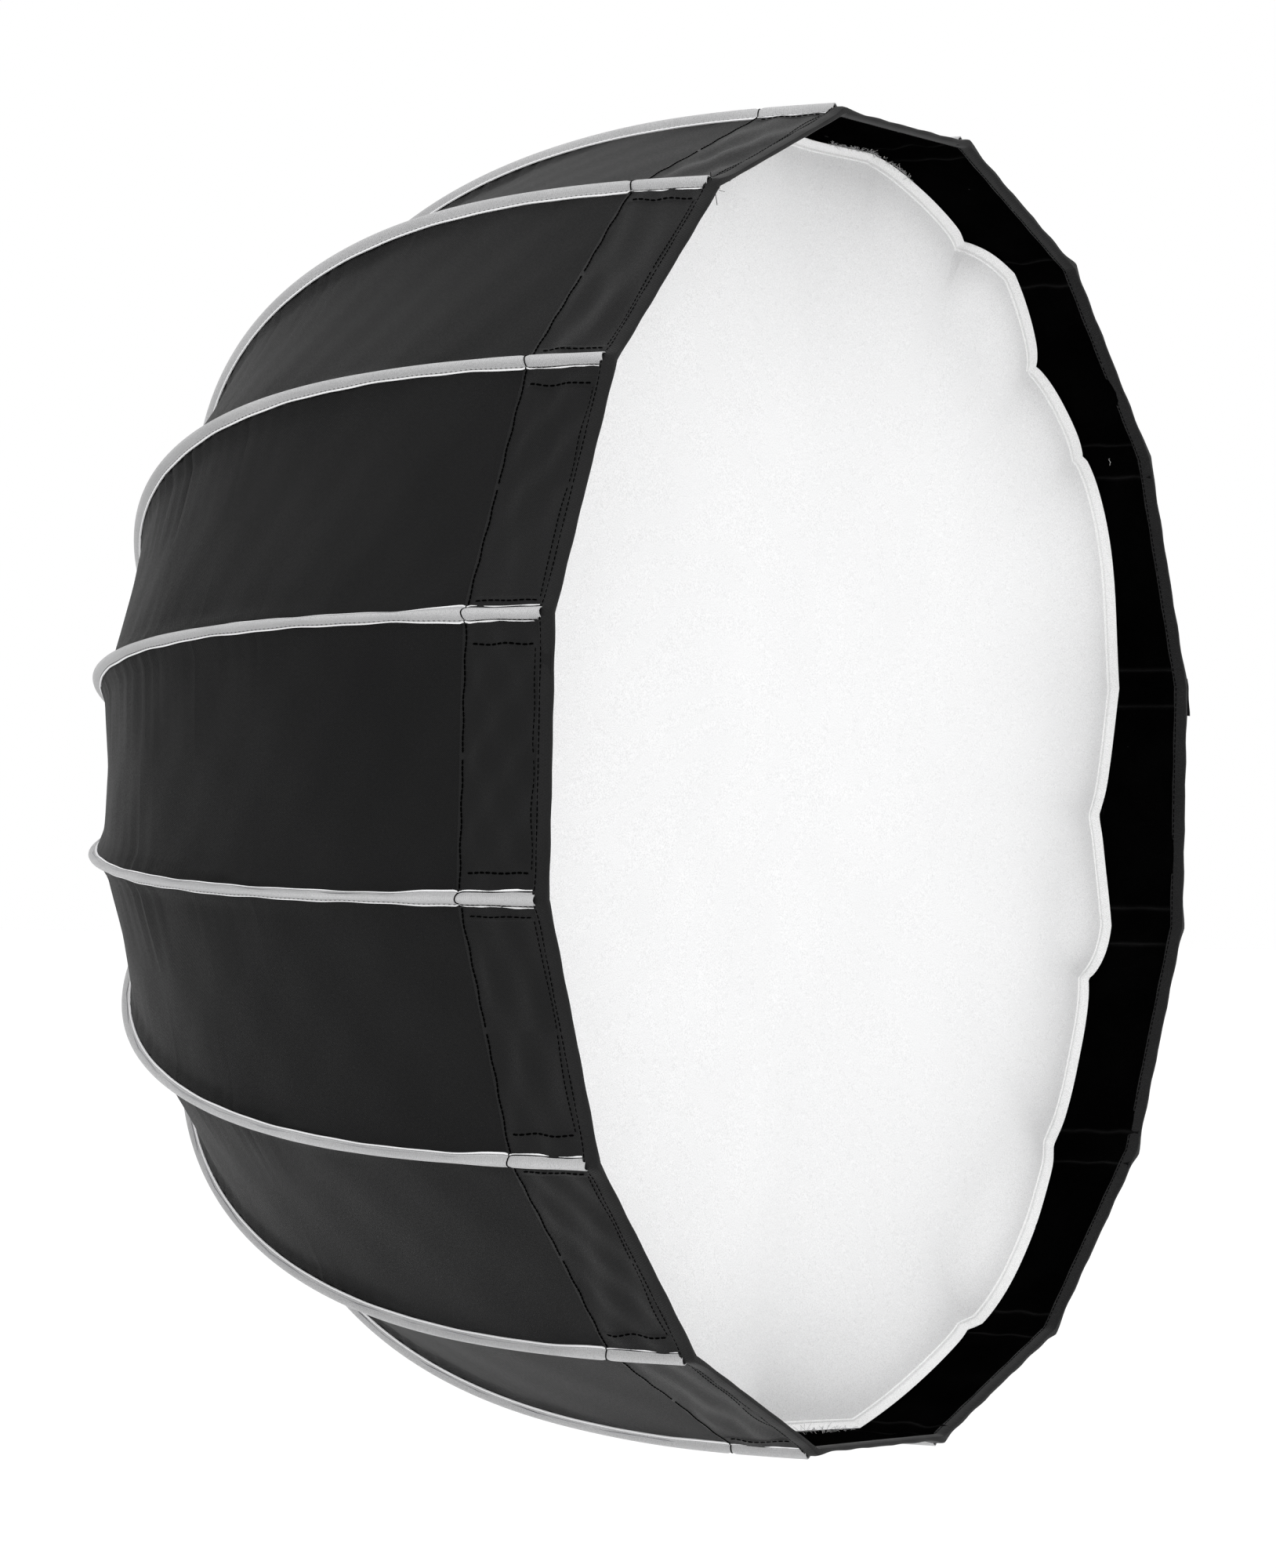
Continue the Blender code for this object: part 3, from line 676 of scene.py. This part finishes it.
def uv_grid(across, along):
    """UV of a flat grid, from its places across and along in metres."""
    return np.stack(np.broadcast_arrays(across[None, :], along[:, None]), axis=-1)


def cloth_uv(s, columns):
    """UV in metres over the flat cloth."""
    width = radius_at(s) * math.sin(PITCH)
    return np.stack([np.outer(width, columns), np.outer(s, np.ones(len(columns)))], axis=-1)


def seam_shade(s, columns):
    """Painted shade: darker cloth just beside the sleeve, on one side, over the back half of the
    rib.
    """
    width = 0.0115
    soft = 0.0012
    across = np.outer(radius_at(s) * math.sin(PITCH), columns)
    reach = width * smooth((s - 0.14) / 0.22)[:, None]
    inside = smooth((reach - across + soft) / soft) * (across > 0)
    return inside * smooth((s - 0.15) / 0.05)[:, None]


def canopy(rib, edges):
    """The black panels behind the lip, in bands, with the silver lining as their inner face."""
    middle = 0.502  # just past mid-panel, where the cloth goes on under the next piece
    columns = np.concatenate([cloth_columns(), [middle, middle + TUCK / PANEL_WIDTH]])
    made = []
    for band, (low, high) in enumerate(zip(edges, edges[1:])):
        last = high == edges[-1]
        count = max(4, round((high - low) / BAND_STEP))
        s = np.linspace(low, high, count + 1)
        if last:
            s = np.sort(np.concatenate([s, high - REAR_HEM + np.array([-0.001, 0.0])]))
        else:
            s = np.concatenate([s, [high + 0.0003, high + TUCK]])
        hem = 0.0006 * smooth((s - CLOTH_END + REAR_HEM + 0.001) / 0.001)  # its second layer
        under = (s > high + 1e-6)[:, None] | (columns > 0.501)[None, :]
        lift = hem[:, None] - TUCK_DEPTH * under
        outer = np.stack([on_dish(rib, u, s, lift[:, k]) for k, u in enumerate(columns)], axis=1)
        thick = [on_dish(rib, u, s, lift[:, k] - CLOTH) for k, u in enumerate(columns)]
        lining = [2 if at < LOOP_CLOTH_END else 1 for at in s[:-1]]
        shape = Shape()
        # Painted shade: a darker band of cloth beside the sleeve.
        painted_light_and_lint = seam_shade(s, columns)
        uv = cloth_uv(s, columns)
        shape.solid(outer, np.stack(thick, axis=1), (0, lining), uv, painted_light_and_lint, 0 * painted_light_and_lint)
        if last:
            u = np.linspace(-0.5, 0.5, 40)
            place = np.full(len(u), high - REAR_HEM + 0.0012)
            thread_line(shape, rib, u, place, 3, 0.0006, width=0.0007)
        materials = [black_cloth, silver, hook_loop, black_thread]
        piece = shape.object(f"canopy_{RIBS[rib]}_{band + 1}", materials)
        gather(piece, rib)
        made.append(piece)
    return made


def tab_shift(rib):
    """How far the tab on the lip sits off its rib."""
    return TAB_SHIFT.get(RIBS[rib], 0.004 * panel_skew[rib, 3])


def tab_lift(s, x):
    """Raised tabs beside the sleeve and the folded edge at the cross seam, on the lip's outside."""
    edge = smooth(0.5 + (TAB_HALF - np.abs(x)) / 0.0012)
    tab = edge * smooth((s - 0.006) / 0.001) * smooth((LIP - 0.002 - s) / 0.001)
    fold = bell(s, SEAM_LINE, 0.0016)
    return 0.00045 * tab + 0.0005 * fold


def lip_columns(rib):
    """The usual columns, with more where the tabs and the cut ends of the inner strip lie."""
    width = radius_at(LIP / 2) * math.sin(PITCH)
    extra = [LOOP_CUT + step for step in (-0.0011, -0.0005, 0.0, 0.0005, 0.0011)]
    places = [side * x for side in (-1, 1) for x in extra]
    edges = [tab_shift(rib) + side * TAB_HALF for side in (-1, 1)]
    places += [edge + step for edge in edges for step in (-0.0006, 0.0, 0.0006)]
    return np.unique(np.concatenate([cloth_columns(), np.array(places) / width]))


def lip(rib):
    """The band in front of the cross seam: black cloth outside, hook-and-loop inside."""
    columns = lip_columns(rib)
    under_canopy = 0.0015
    s = np.linspace(0.0, LIP + under_canopy, round(LIP / LIP_STEP) + 1)
    shape = Shape()
    outer = []
    inner = []
    ridges = []
    for u in columns:
        x = u * radius_at(s) * math.sin(PITCH)
        outer.append(on_dish(rib, u, s, LIP_LIFT + tab_lift(s, x - tab_shift(rib))))
        ridge = bell(np.abs(x), LOOP_CUT, LOOP_CUT_WIDTH)
        ridges.append(ridge)
        inner.append(on_dish(rib, u, s, LOOP_FACE - 0.0006 * ridge))
    outer, inner, ridges = (np.stack(rows, axis=1) for rows in (outer, inner, ridges))
    shape.solid(outer, inner, (0, 1), cloth_uv(s, columns), 0 * ridges, ridges)
    seam(shape, rib)
    piece = shape.object(f"lip_{RIBS[rib]}", [lip_cloth, hook_loop, black_thread])
    gather(piece, rib)
    return piece


def thread_line(shape, rib, u, s, material, lift=LIP_LIFT, **sizes):
    """A row of stitches on the cloth through the places u, s."""
    places = [(v, np.array([a])) for v, a in zip(u, s)]
    path = np.concatenate([on_dish(rib, v, at, lift) for v, at in places])
    above = np.concatenate([on_dish(rib, v, at, lift + UPWARD) for v, at in places])
    shape.stitches(path, above - path, material, **sizes)


def seam(shape, rib):
    """Stitches on the lip: the cross seam, a line beside the binding, and the tabs' edges."""
    width = radius_at(LIP) * math.sin(PITCH)
    p = panel_phase[rib]
    clear = SLEEVE_HALF_WIDTH / width
    fold_top = LIP_LIFT + 0.0005
    for side in (-1, 1):
        u = side * np.linspace(clear, 0.5, 60)
        wander = 0.0004 * np.sin(u * width / 0.004 + p[0]) * smooth((0.5 - abs(u)) / 0.1)
        thread_line(shape, rib, u, SEAM_LINE + wander, 2, fold_top, **CROSS_STITCH)
        beside_tape = np.full(len(u), BINDING + 0.0028)
        thread_line(shape, rib, u, beside_tape, 2, **RIM_STITCH)
        s = np.linspace(0.012, LIP - 0.003, 30)
        x = tab_shift(rib) + side * (TAB_STITCH + 0.0003 * np.sin(s / 0.004 + p[2]))
        thickness = 0.0014 if side * tab_shift(rib) > 0 else 0.0009
        u = x / (radius_at(s) * math.sin(PITCH))
        thread_line(shape, rib, u, s, 2, fold_top, width=thickness, **TAB_THREAD)


def binding(rib):
    """The tape folded over the rim, thicker over each rod's tip."""
    columns = cloth_columns()
    s_line = np.array([BINDING, BINDING * 0.8, 0.0045, 0.001, -0.0008, -0.0014])
    s_line = np.concatenate([s_line, [-0.0012, 0.0002, 0.003, 0.0055, BINDING - 0.0006]])
    lifts = np.array([1.55, 1.75, 1.8, 1.7, 1.2, 0.2, -1.2, -2.0, -2.2, -2.2, -2.0]) * 1e-3
    inside = np.array([0.95, 1.0, 1.05, 0.95, 0.6, -0.1, -0.8, -1.4, -1.5, -1.5, -1.4]) * 1e-3
    s_in = np.array([BINDING, 0.0068, 0.0045, 0.0016, 0.0004, -0.0002, 0.0, 0.001, 0.003, 0.0055])
    s_in = np.concatenate([s_in, [BINDING - 0.0006]])
    wave = panel_phase[rib, 7]
    shape = Shape()
    outer = []
    inner = []
    for u in columns:
        x = u * radius_at(0.0) * math.sin(PITCH)
        bulge = TIP_BULGE * math.exp(-((x / TIP_BULGE_WIDTH) ** 2))
        ripple = 0.00025 * math.sin(x / 0.0052 + wave) * float(smooth((0.085 - abs(x)) / 0.02))
        top = lifts + np.where(lifts > 0, bulge + ripple, 0)
        outer.append(on_dish(rib, u, s_line - ripple, top, with_relief=False))
        under = inside + np.where(inside > 0, bulge + ripple, 0)
        inner.append(on_dish(rib, u, s_in, under, with_relief=False))
    outer, inner = np.stack(outer, axis=1), np.stack(inner, axis=1)
    point_step = 0.0018  # along the tape's width, about
    across = np.arange(len(s_line)) * point_step
    width = radius_at(0.0) * math.sin(PITCH)
    shape.solid(outer, inner, (0, 0), uv_grid(columns * width, across))
    u = np.linspace(-0.5, 0.5, 90)
    bulges = TIP_BULGE * np.exp(-((u * width / TIP_BULGE_WIDTH) ** 2))
    rows = ((BINDING - 0.0014, 0.0018, UPWARD), (BINDING - 0.002, -0.0022, -UPWARD))
    for s, lift, away in rows:
        at = np.array([s])
        raised = [lift + (b if lift > 0 else 0) for b in bulges]
        path = np.concatenate([on_dish(rib, v, at, h, False) for v, h in zip(u, raised)])
        above = np.concatenate([on_dish(rib, v, at, h + away, False) for v, h in zip(u, raised)])
        shape.stitches(path, above - path, 1, **TAPE_STITCH)
    if RIBS[rib] == TAPE_END:
        tape_end(shape, rib)
    piece = shape.object(f"binding_{RIBS[rib]}", [tape, black_thread])
    gather(piece, rib)
    return piece


def tape_end(shape, rib):
    """The loose end of the rim tape, laid over its own start."""
    x = np.linspace(-0.006, 0.021, 12)
    u = x / (radius_at(0.0) * math.sin(PITCH))
    loose = 0.0030 * smooth(x / 0.021) ** 2
    s = np.array([-0.0016, -0.0004, 0.0020, 0.0050, 0.0088])
    rise = np.array([0.0022, 0.0036, 0.0041, 0.0041, 0.0036])
    outer = [on_dish(rib, v, s, rise + away, False) for v, away in zip(u, loose)]
    inner = [on_dish(rib, v, s + 0.0002, rise + away - CLOTH, False) for v, away in zip(u, loose)]
    outer, inner = np.stack(outer, axis=1), np.stack(inner, axis=1)
    shape.solid(outer, inner, (0, 0), uv_grid(x, s))


def sleeve_section(phi):
    """Height of the sleeve above its edges: a soft arch over the rod between two flat hems."""
    q = np.abs(phi) / 0.70
    arch = np.where(q < 1, np.clip(1 - q**2.4, 0, 1) ** 0.75, 0.0)
    hem = bell(np.abs(phi), 0.88, 0.09)
    return arch, hem


def sleeve(rib):
    """The light-grey cloth sleeve that holds a rod on the outside of the canopy."""
    phi = np.concatenate([np.linspace(-1, -0.7, 7)[:-1], np.linspace(-0.7, 0.7, 15)])
    phi = np.concatenate([phi, np.linspace(0.7, 1, 7)[1:]])
    arch, hem = sleeve_section(phi)
    fine = np.arange(SLEEVE_FRONT, SLEEVE_END, 0.004)
    s = np.unique(np.concatenate([fine, LIP + np.linspace(-0.006, 0.006, 9), [SLEEVE_END]]))
    pinch = 1 - 0.16 * bell(s, LIP, 0.0020)
    mouth = 1 + 0.10 * bell(s, SLEEVE_FRONT, 0.004)
    closing = smooth((SLEEVE_END - s) / 0.03)
    p = panel_phase[rib]
    wobble = 0.00035 * np.sin(s / 0.013 + p[0]) + 0.00025 * np.sin(s / 0.0061 + p[1])
    half = SLEEVE_HALF_WIDTH * pinch * mouth * (0.75 + 0.25 * closing) + wobble
    base = cloth_offset(s) + 0.0003
    crest = SLEEVE_CREST + 0.0005 * np.sin(s / 0.06 + p[2]) * smooth((s - 0.1) / 0.1)
    top = base + (crest - base) * (0.25 + 0.75 * closing) * pinch
    outer = []
    inner = []
    taper = smooth((s - LIP - 0.004) / 0.05) * closing
    for value, rise, fold in zip(phi, arch, hem):
        x = half * value * (1 - (0.46 if value > 0 else 0.20) * taper)
        drop = np.abs(x) * math.tan(PITCH / 2)
        lift = base - drop + 0.0004 + (top - base) * rise + 0.0007 * fold
        outer.append(beside_rod(rib, x, lift, s))
        inner.append(beside_rod(rib, x * 0.93, lift - SLEEVE_CLOTH, s))
    outer, inner = np.stack(outer, axis=1), np.stack(inner, axis=1)
    # Painted highlight: the colour lightens towards both hems of the sleeve.
    edge = smooth((np.abs(phi) - 0.74) / 0.08)
    painted_light_and_lint = np.ones((len(s), 1)) * edge[None, :]
    half_flat = 0.008
    shape = Shape()
    shape.solid(outer, inner, (0, 0), uv_grid(phi * half_flat, s), painted_light_and_lint)
    x = -half * 0.72 * (1 - 0.20 * taper)
    lift = base - np.abs(x) * math.tan(PITCH / 2) + 0.0009
    path = beside_rod(rib, x, lift, s)
    above = beside_rod(rib, x, lift + UPWARD, s)
    shape.stitches(path, above - path, 1, **SLEEVE_STITCH)
    tie(shape, rib)
    piece = shape.object(f"sleeve_{RIBS[rib]}", [grey_cloth, grey_thread, black_thread])
    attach(piece, f"panel_{RIBS[rib]}")
    return piece


def tie(shape, rib):
    """The cross seam's thread over the sleeve."""
    phi = np.linspace(-1, 1, 21)
    arch, hem = sleeve_section(phi)
    s = np.array([LIP])
    base = float(cloth_offset(LIP)) + 0.0003
    crest = base + (SLEEVE_CREST - base) * 0.86  # it pinches the sleeve
    path = []
    for value, rise, fold in zip(phi, arch, hem):
        x = SLEEVE_HALF_WIDTH * 0.90 * value
        lift = base - abs(x) * math.tan(PITCH / 2) + 0.0005 + (crest - base) * rise + 0.0006 * fold
        path.append(beside_rod(rib, x, lift, s)[0])
    path = np.array(path)
    ahead = np.gradient(path, axis=0)
    ahead /= np.linalg.norm(ahead, axis=1)[:, None]
    along = (beside_rod(rib, 0.0, 0.0, s + 0.001) - beside_rod(rib, 0.0, 0.0, s))[0]
    along = np.tile(along / np.linalg.norm(along), (len(path), 1))
    shape.tube(path, along, np.cross(ahead, along), 0.0010, 0.0007, 2, sides=6)


# Front diffuser


def edge_level(angle):
    """How far behind the rim the diffuser's edge would be fixed if it had no tucks."""
    level = DIFFUSER_SETBACK + 0.0010 + EDGE_TAPE_RISE
    for place, back, width in EDGE_DIPS:
        away = (np.degrees(angle) - place + 180) % 360 - 180
        level = level + back * bell(away, 0, width)
    return level


def edge_setback(angle):
    """How far behind the rim the diffuser's edge is fixed; it bows forward between its tucks."""
    degrees = (np.degrees(angle) + 200) % 360 - 200
    tucks, bows, lean = np.array(TUCKS).T
    tucks = np.append(tucks, tucks[0] + 360)
    degrees = np.where(degrees < tucks[0], degrees + 360, degrees)
    after = np.clip(np.searchsorted(tucks, degrees, side="right") - 1, 0, len(bows) - 1)
    share = (degrees - tucks[after]) / (tucks[after + 1] - tucks[after])
    bow = bows[after] * np.abs(np.sin(math.pi * share ** lean[after])) ** 0.6
    return edge_level(angle) - bow


def mouth_point(angle, s, inset):
    """A point on the inside of the lip at an angle round the mouth."""
    turns = (angle - FIRST_RIB) / PITCH
    radius = radius_at(s) + float(cloth_offset(DIFFUSER_SETBACK)) + LOOP_FACE - inset
    middle = FIRST_RIB + (np.floor(turns) + 0.5) * PITCH
    return radius * math.cos(PITCH / 2) / np.cos(angle - middle)


def tuck_folds(angle, share):
    """Creases that run from each tuck of the edge towards the middle."""
    degrees = np.degrees(angle)
    total = np.zeros_like(degrees)
    for number, (tuck, bow, _) in enumerate(TUCKS):
        lean = 3.0 * math.sin(number * 2.3) * (1 - share)
        off = (degrees - tuck - lean + 180) % 360 - 180
        total = total + bow / 0.010 * bell(off, 0, 1.6 + 2.0 * (1 - share))
    return total * smooth((share - 0.45) / 0.5)


def diffuser_surface(angle, share):
    """Position on the diffuser; share runs from 0 at the centre to 1 at its edge."""
    level = edge_level(angle)
    setback = edge_setback(angle)
    reach = mouth_point(angle, setback, DIFFUSER_GAP)
    radius = share * reach
    deep = DIFFUSER_SETBACK + 0.0035
    pull = smooth((share - 0.84) / 0.16) ** 1.4
    behind = deep + (level - deep) * share**3 + (setback - level) * pull
    wrinkle = np.sin(23 * angle + 6 * np.sin(3 * angle)) * np.sin(9 * angle + 1.3)
    behind = behind + 0.0009 * wrinkle * smooth((share - 0.35) / 0.6) * (1 - share**8 * 0.8)
    behind = behind + 0.0011 * np.sin(5 * angle + 9 * share) * smooth(share / 0.3)
    behind = behind + 0.0015 * tuck_folds(angle, share)
    forward = TABLE_FORWARD[1] - behind
    return np.stack([radius * np.sin(angle), -forward, radius * np.cos(angle)], axis=-1)


def wedge_gather(piece):
    """The piece rides on the root body, with a mesh of its own."""
    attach(piece, "root")
    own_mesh(piece)


def diffuser_wedge(number):
    """One wedge of the white front cloth, out to and with its edge binding."""
    pitch = 2 * math.pi / WEDGES
    middle = FIRST_RIB + number * pitch
    angles = middle + np.linspace(-0.5, 0.5, 21) * pitch
    shares = np.concatenate([np.linspace(0.0004, 0.8, 26)[:-1], np.linspace(0.8, 1.0, 14)])
    grid = np.stack([diffuser_surface(angles, k) for k in shares], axis=0)
    back = grid + np.array([0.0, DIFFUSER_CLOTH, 0.0])
    uv = np.stack([grid[:, :, 0], grid[:, :, 2]], axis=-1)
    shape = Shape()
    shape.solid(grid, back, (0, 0), uv)
    edge_tape(shape, middle, pitch)
    piece = shape.object(f"diffuser_{number + 1:02d}", [white_cloth, white_tape])
    wedge_gather(piece)
    return piece


def edge_tape(shape, middle, pitch):
    """The rolled white binding round the diffuser's edge, as distances in from it and rises."""
    angles = middle + np.linspace(-0.5, 0.5, 37) * pitch
    reach = mouth_point(angles, edge_setback(angles), DIFFUSER_GAP)
    inboard = np.array([6.6, 6.4, 5.6, 5.0, 4.2, 2.8, 1.5, 0.6, 0.2, 0.1, 0.1]) * 1e-3
    rise = np.array([0.02, 0.13, 0.20, 0.18, 0.26, 0.55, 0.85, 1.0, 0.92, 0.4, -0.35])
    rise = rise * EDGE_TAPE_RISE
    depth = rise - np.array([1.0, 1.0, 0.9, 0.9, 0.9, 0.9, 0.9, 0.8, 0.5, 0.3, 0.1]) * 1e-3
    overlap = 0.0007
    outer = []
    inner = []
    for away, high, low in zip(inboard, rise, depth):
        face = diffuser_surface(angles, 1 - away / reach)
        outer.append(face - np.array([0.0, high, 0.0]))
        face = diffuser_surface(angles, 1 - (away + overlap) / reach)
        inner.append(face - np.array([0.0, low, 0.0]))
    across = np.arange(len(inboard)) * 0.0012
    along = (angles - middle) * DIFFUSER_RADIUS
    shape.solid(np.stack(outer), np.stack(inner), (1, 1), uv_grid(along, across))


def fibres(name, points, length, width, material, seed):
    """Short curved fibres that stand about at random from each of the points."""
    draw = np.random.default_rng(seed)
    shape = Shape()
    for point in points:
        ahead = draw.normal(size=3)
        ahead /= np.linalg.norm(ahead)
        bend = draw.normal(size=3) * 0.5
        t = np.linspace(0, 1, FIBRE_POINTS)[:, None]
        size = length * draw.uniform(0.5, 1.2)
        path = point + (ahead * t + bend * t * t * 0.5) * size
        side = np.cross(ahead, [0.3, 0.5, 0.8])
        side /= np.linalg.norm(side)
        sides = np.tile(side, (FIBRE_POINTS, 1))
        ups = np.tile(np.cross(ahead, side), (FIBRE_POINTS, 1))
        shape.tube(path, sides, ups, width, width, 0, sides=4)
    return shape.object(name, [material])


def lint():
    """Frayed hook-and-loop ends at the diffuser's edge, top and bottom, and stray black threads."""
    for name, low, high in (("fray_top", 6.0, 18.0), ("fray_bottom", 172.0, 186.0)):
        draw = np.random.default_rng(round(low))
        angles = np.radians(np.sort(draw.uniform(low, high, 170)))
        edge = diffuser_surface(angles, np.ones(len(angles)))
        # at the front edge of the tape
        edge[:, 1] -= EDGE_TAPE_RISE + draw.uniform(-0.0015, 0.002, len(angles))
        piece = fibres(name, edge, 0.0045, 0.00028, grey_fuzz, round(high))
        wedge_gather(piece)
    rib = 3
    spots = [beside_rod(rib, x, -0.0045, np.array([0.030]))[0] for x in (-0.001, 0.0015, 0.002)]
    piece = fibres("lip_lint", np.array(spots), 0.005, 0.0003, grey_fuzz, 11)
    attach(piece, f"panel_{RIBS[rib]}")
    rib = len(RIBS) - 1
    draw = np.random.default_rng(3)
    s = draw.uniform(0.0, 0.012, 9)
    spots = np.array([beside_rod(rib, x, -0.004, np.array([a]))[0] for x, a in zip(s - 0.004, s)])
    piece = fibres("stray_threads", spots, 0.010, 0.00045, black_thread, 5)
    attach(piece, f"panel_{RIBS[rib]}")


# Hub


def paint(node, material):
    """Gives a CAD node its finished material."""
    mesh = frame["nodes"][node]
    if not mesh.material_slots:
        mesh.data.materials.append(material)
    for entry in mesh.material_slots:
        entry.material = material


def hub_looks():
    """Materials of the mount, the hinge, the runner, the rods and the struts."""
    for node in ("mount_ring", "guide_tube"):
        paint(node, aluminium)
    for node in ("crown", "hub_cover", "runner"):
        paint(node, nylon)
    for node in ("stop_ring", "hinge_wire", "strut_wire"):
        paint(node, steel)
    for side in ("left", "right"):
        paint(f"latch_spring_{side}", steel)
    for name in RIBS:
        paint(f"rib_{name}", rod_steel)
        paint(f"strut_{name}", nylon)


# Camera, light and floor


def studio():
    """A white cyclorama of light: pale floor, even dome and two soft boxes."""
    world = bpy.data.worlds.new("studio")
    bpy.context.scene.world = world
    world.use_nodes = True
    background = world.node_tree.nodes["Background"]
    background.inputs["Color"].default_value = (1.0, 1.0, 1.0, 1.0)
    background.inputs["Strength"].default_value = 1.0
    bpy.context.scene.view_settings.view_transform = "Standard"
    floor_mesh = bpy.data.meshes.new("floor")
    size = 30.0
    height = cad_bounds[0].z - FLOOR_BELOW
    corners = [(-size, -size), (size, -size), (size, size), (-size, size)]
    floor_mesh.from_pydata([(x, y, height) for x, y in corners], [], [(0, 1, 2, 3)])
    material, tree = new_material("floor_white")
    set_shader(
        tree,
        Base_Color=(0.93, 0.93, 0.93, 1.0),
        Roughness=0.9,
        Specular_IOR_Level=0.1,
        Emission_Color=(1.0, 1.0, 1.0, 1.0),
        Emission_Strength=0.12,
    )
    floor_mesh.materials.append(material)
    floor = bpy.data.objects.new("floor", floor_mesh)
    looks.objects.link(floor)
    for name, energy, size, spot in (
        ("key", 33.0, 1.6, (-2.6, -1.3, 3.2)),
        ("front", 13.0, 2.6, (-0.2, -4.4, 1.6)),
    ):
        data = bpy.data.lights.new(name, "AREA")
        data.energy = energy
        data.size = size
        lamp = bpy.data.objects.new(name, data)
        lamp.location = spot
        aim = Vector((0, -0.25, 0)) - lamp.location
        lamp.rotation_euler = aim.to_track_quat("-Z", "Y").to_euler()
        looks.objects.link(lamp)


def camera():
    """A level view of the left side and the mouth, with the rim's centre right of the middle."""
    azimuth = math.radians(-59.19)
    elevation = math.radians(0.147)
    distance = 4.249
    back = Vector(
        (
            math.sin(azimuth) * math.cos(elevation),
            -math.cos(azimuth) * math.cos(elevation),
            math.sin(elevation),
        )
    )
    right = Vector((math.cos(azimuth), math.sin(azimuth), 0))
    aside = 0.1697
    lens = 147.43
    data = bpy.data.cameras.new("camera")
    data.lens = lens
    data.sensor_width = 36.0
    view = bpy.data.objects.new("camera", data)
    rim = Vector((0.0, -TABLE_FORWARD[1], 0.0))
    view.location = rim + back * distance - right * aside
    view.rotation_euler = (-back).to_track_quat("-Z", "Y").to_euler()
    looks.objects.link(view)
    bpy.context.scene.camera = view


looks = bpy.data.collections.new("looks")
bpy.context.scene.collection.children.link(looks)

# The painted light colour of the black cloth is painted shade, beside each sleeve on the canopy.
black_cloth = cloth_material(
    "black_polyester", (0.0042, 0.0042, 0.0044), (0.0066, 0.0066, 0.0068), 0.0007, 0.055, 0.6,
    painted_light_colour=(0.0012, 0.0012, 0.0013), specular=0.10,
)
lip_cloth = cloth_material(
    "lip_polyester", (0.0032, 0.0032, 0.0034), (0.0054, 0.0054, 0.0056), 0.0007, 0.055, 0.5,
    specular=0.15,
)
tape = cloth_material(
    "binding_tape", (0.0075, 0.0075, 0.0077), (0.012, 0.012, 0.0122), 0.0009, 0.12, 0.7
)
# The painted light colour of the sleeve cloth is a painted highlight along both hems.
grey_cloth = cloth_material(
    "grey_sleeve", (0.45, 0.45, 0.455), (0.54, 0.54, 0.545), 0.0007, 0.1, 0.65,
    painted_light_colour=(0.90, 0.90, 0.91), diagonal=0.6, specular=0.3,
)
white_cloth = cloth_material(
    "white_diffusion", (0.94, 0.94, 0.945), (0.965, 0.965, 0.97), 0.0004, 0.0, 0.85, fuzz=0.1
)
white_tape = cloth_material(
    "white_tape", (0.93, 0.93, 0.93), (0.96, 0.96, 0.96), 0.0008, 0.0, 0.8, fuzz=0.1
)
hook_loop = napped_material(
    "hook_and_loop", (0.0006, 0.0006, 0.0006), (0.06, 0.06, 0.06), (0.012, 0.012, 0.012)
)
silver = lining_material("silver_lining")
black_thread = hard_material(
    "black_thread", (0.0006, 0.0006, 0.0006), 0.0, 0.9, 2500.0, 0.0002, specular=0.0
)
grey_thread = hard_material(
    "grey_thread", (0.16, 0.16, 0.16), 0.0, 0.9, 2500.0, 0.0002, specular=0.1
)
grey_fuzz = hard_material("grey_fuzz", (0.5, 0.5, 0.5), 0.0, 0.9, 2500.0, 0.0002, specular=0.1)
aluminium = hard_material("cast_aluminium", (0.36, 0.36, 0.37), 0.9, 0.38, 900.0, 0.0002, 0.25)
nylon = hard_material("black_nylon", (0.016, 0.016, 0.017), 0.0, 0.5, 1100.0, 0.0004)
steel = hard_material("spring_steel", (0.45, 0.45, 0.46), 1.0, 0.3, 900.0, 0.0001, 0.4)
rod_steel = hard_material("rod_steel", (0.32, 0.32, 0.33), 0.9, 0.36, 900.0, 0.0001, 0.5)

hub_looks()
edges = band_edges()
for rib, name in enumerate(RIBS):
    bands = canopy(rib, edges)
    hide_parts(f"gore_{name}")
    lip(rib)
    binding(rib)
    sleeve(rib)

wedges = [diffuser_wedge(number) for number in range(WEDGES)]
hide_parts("front_diffuser")
lint()
camera()
studio()
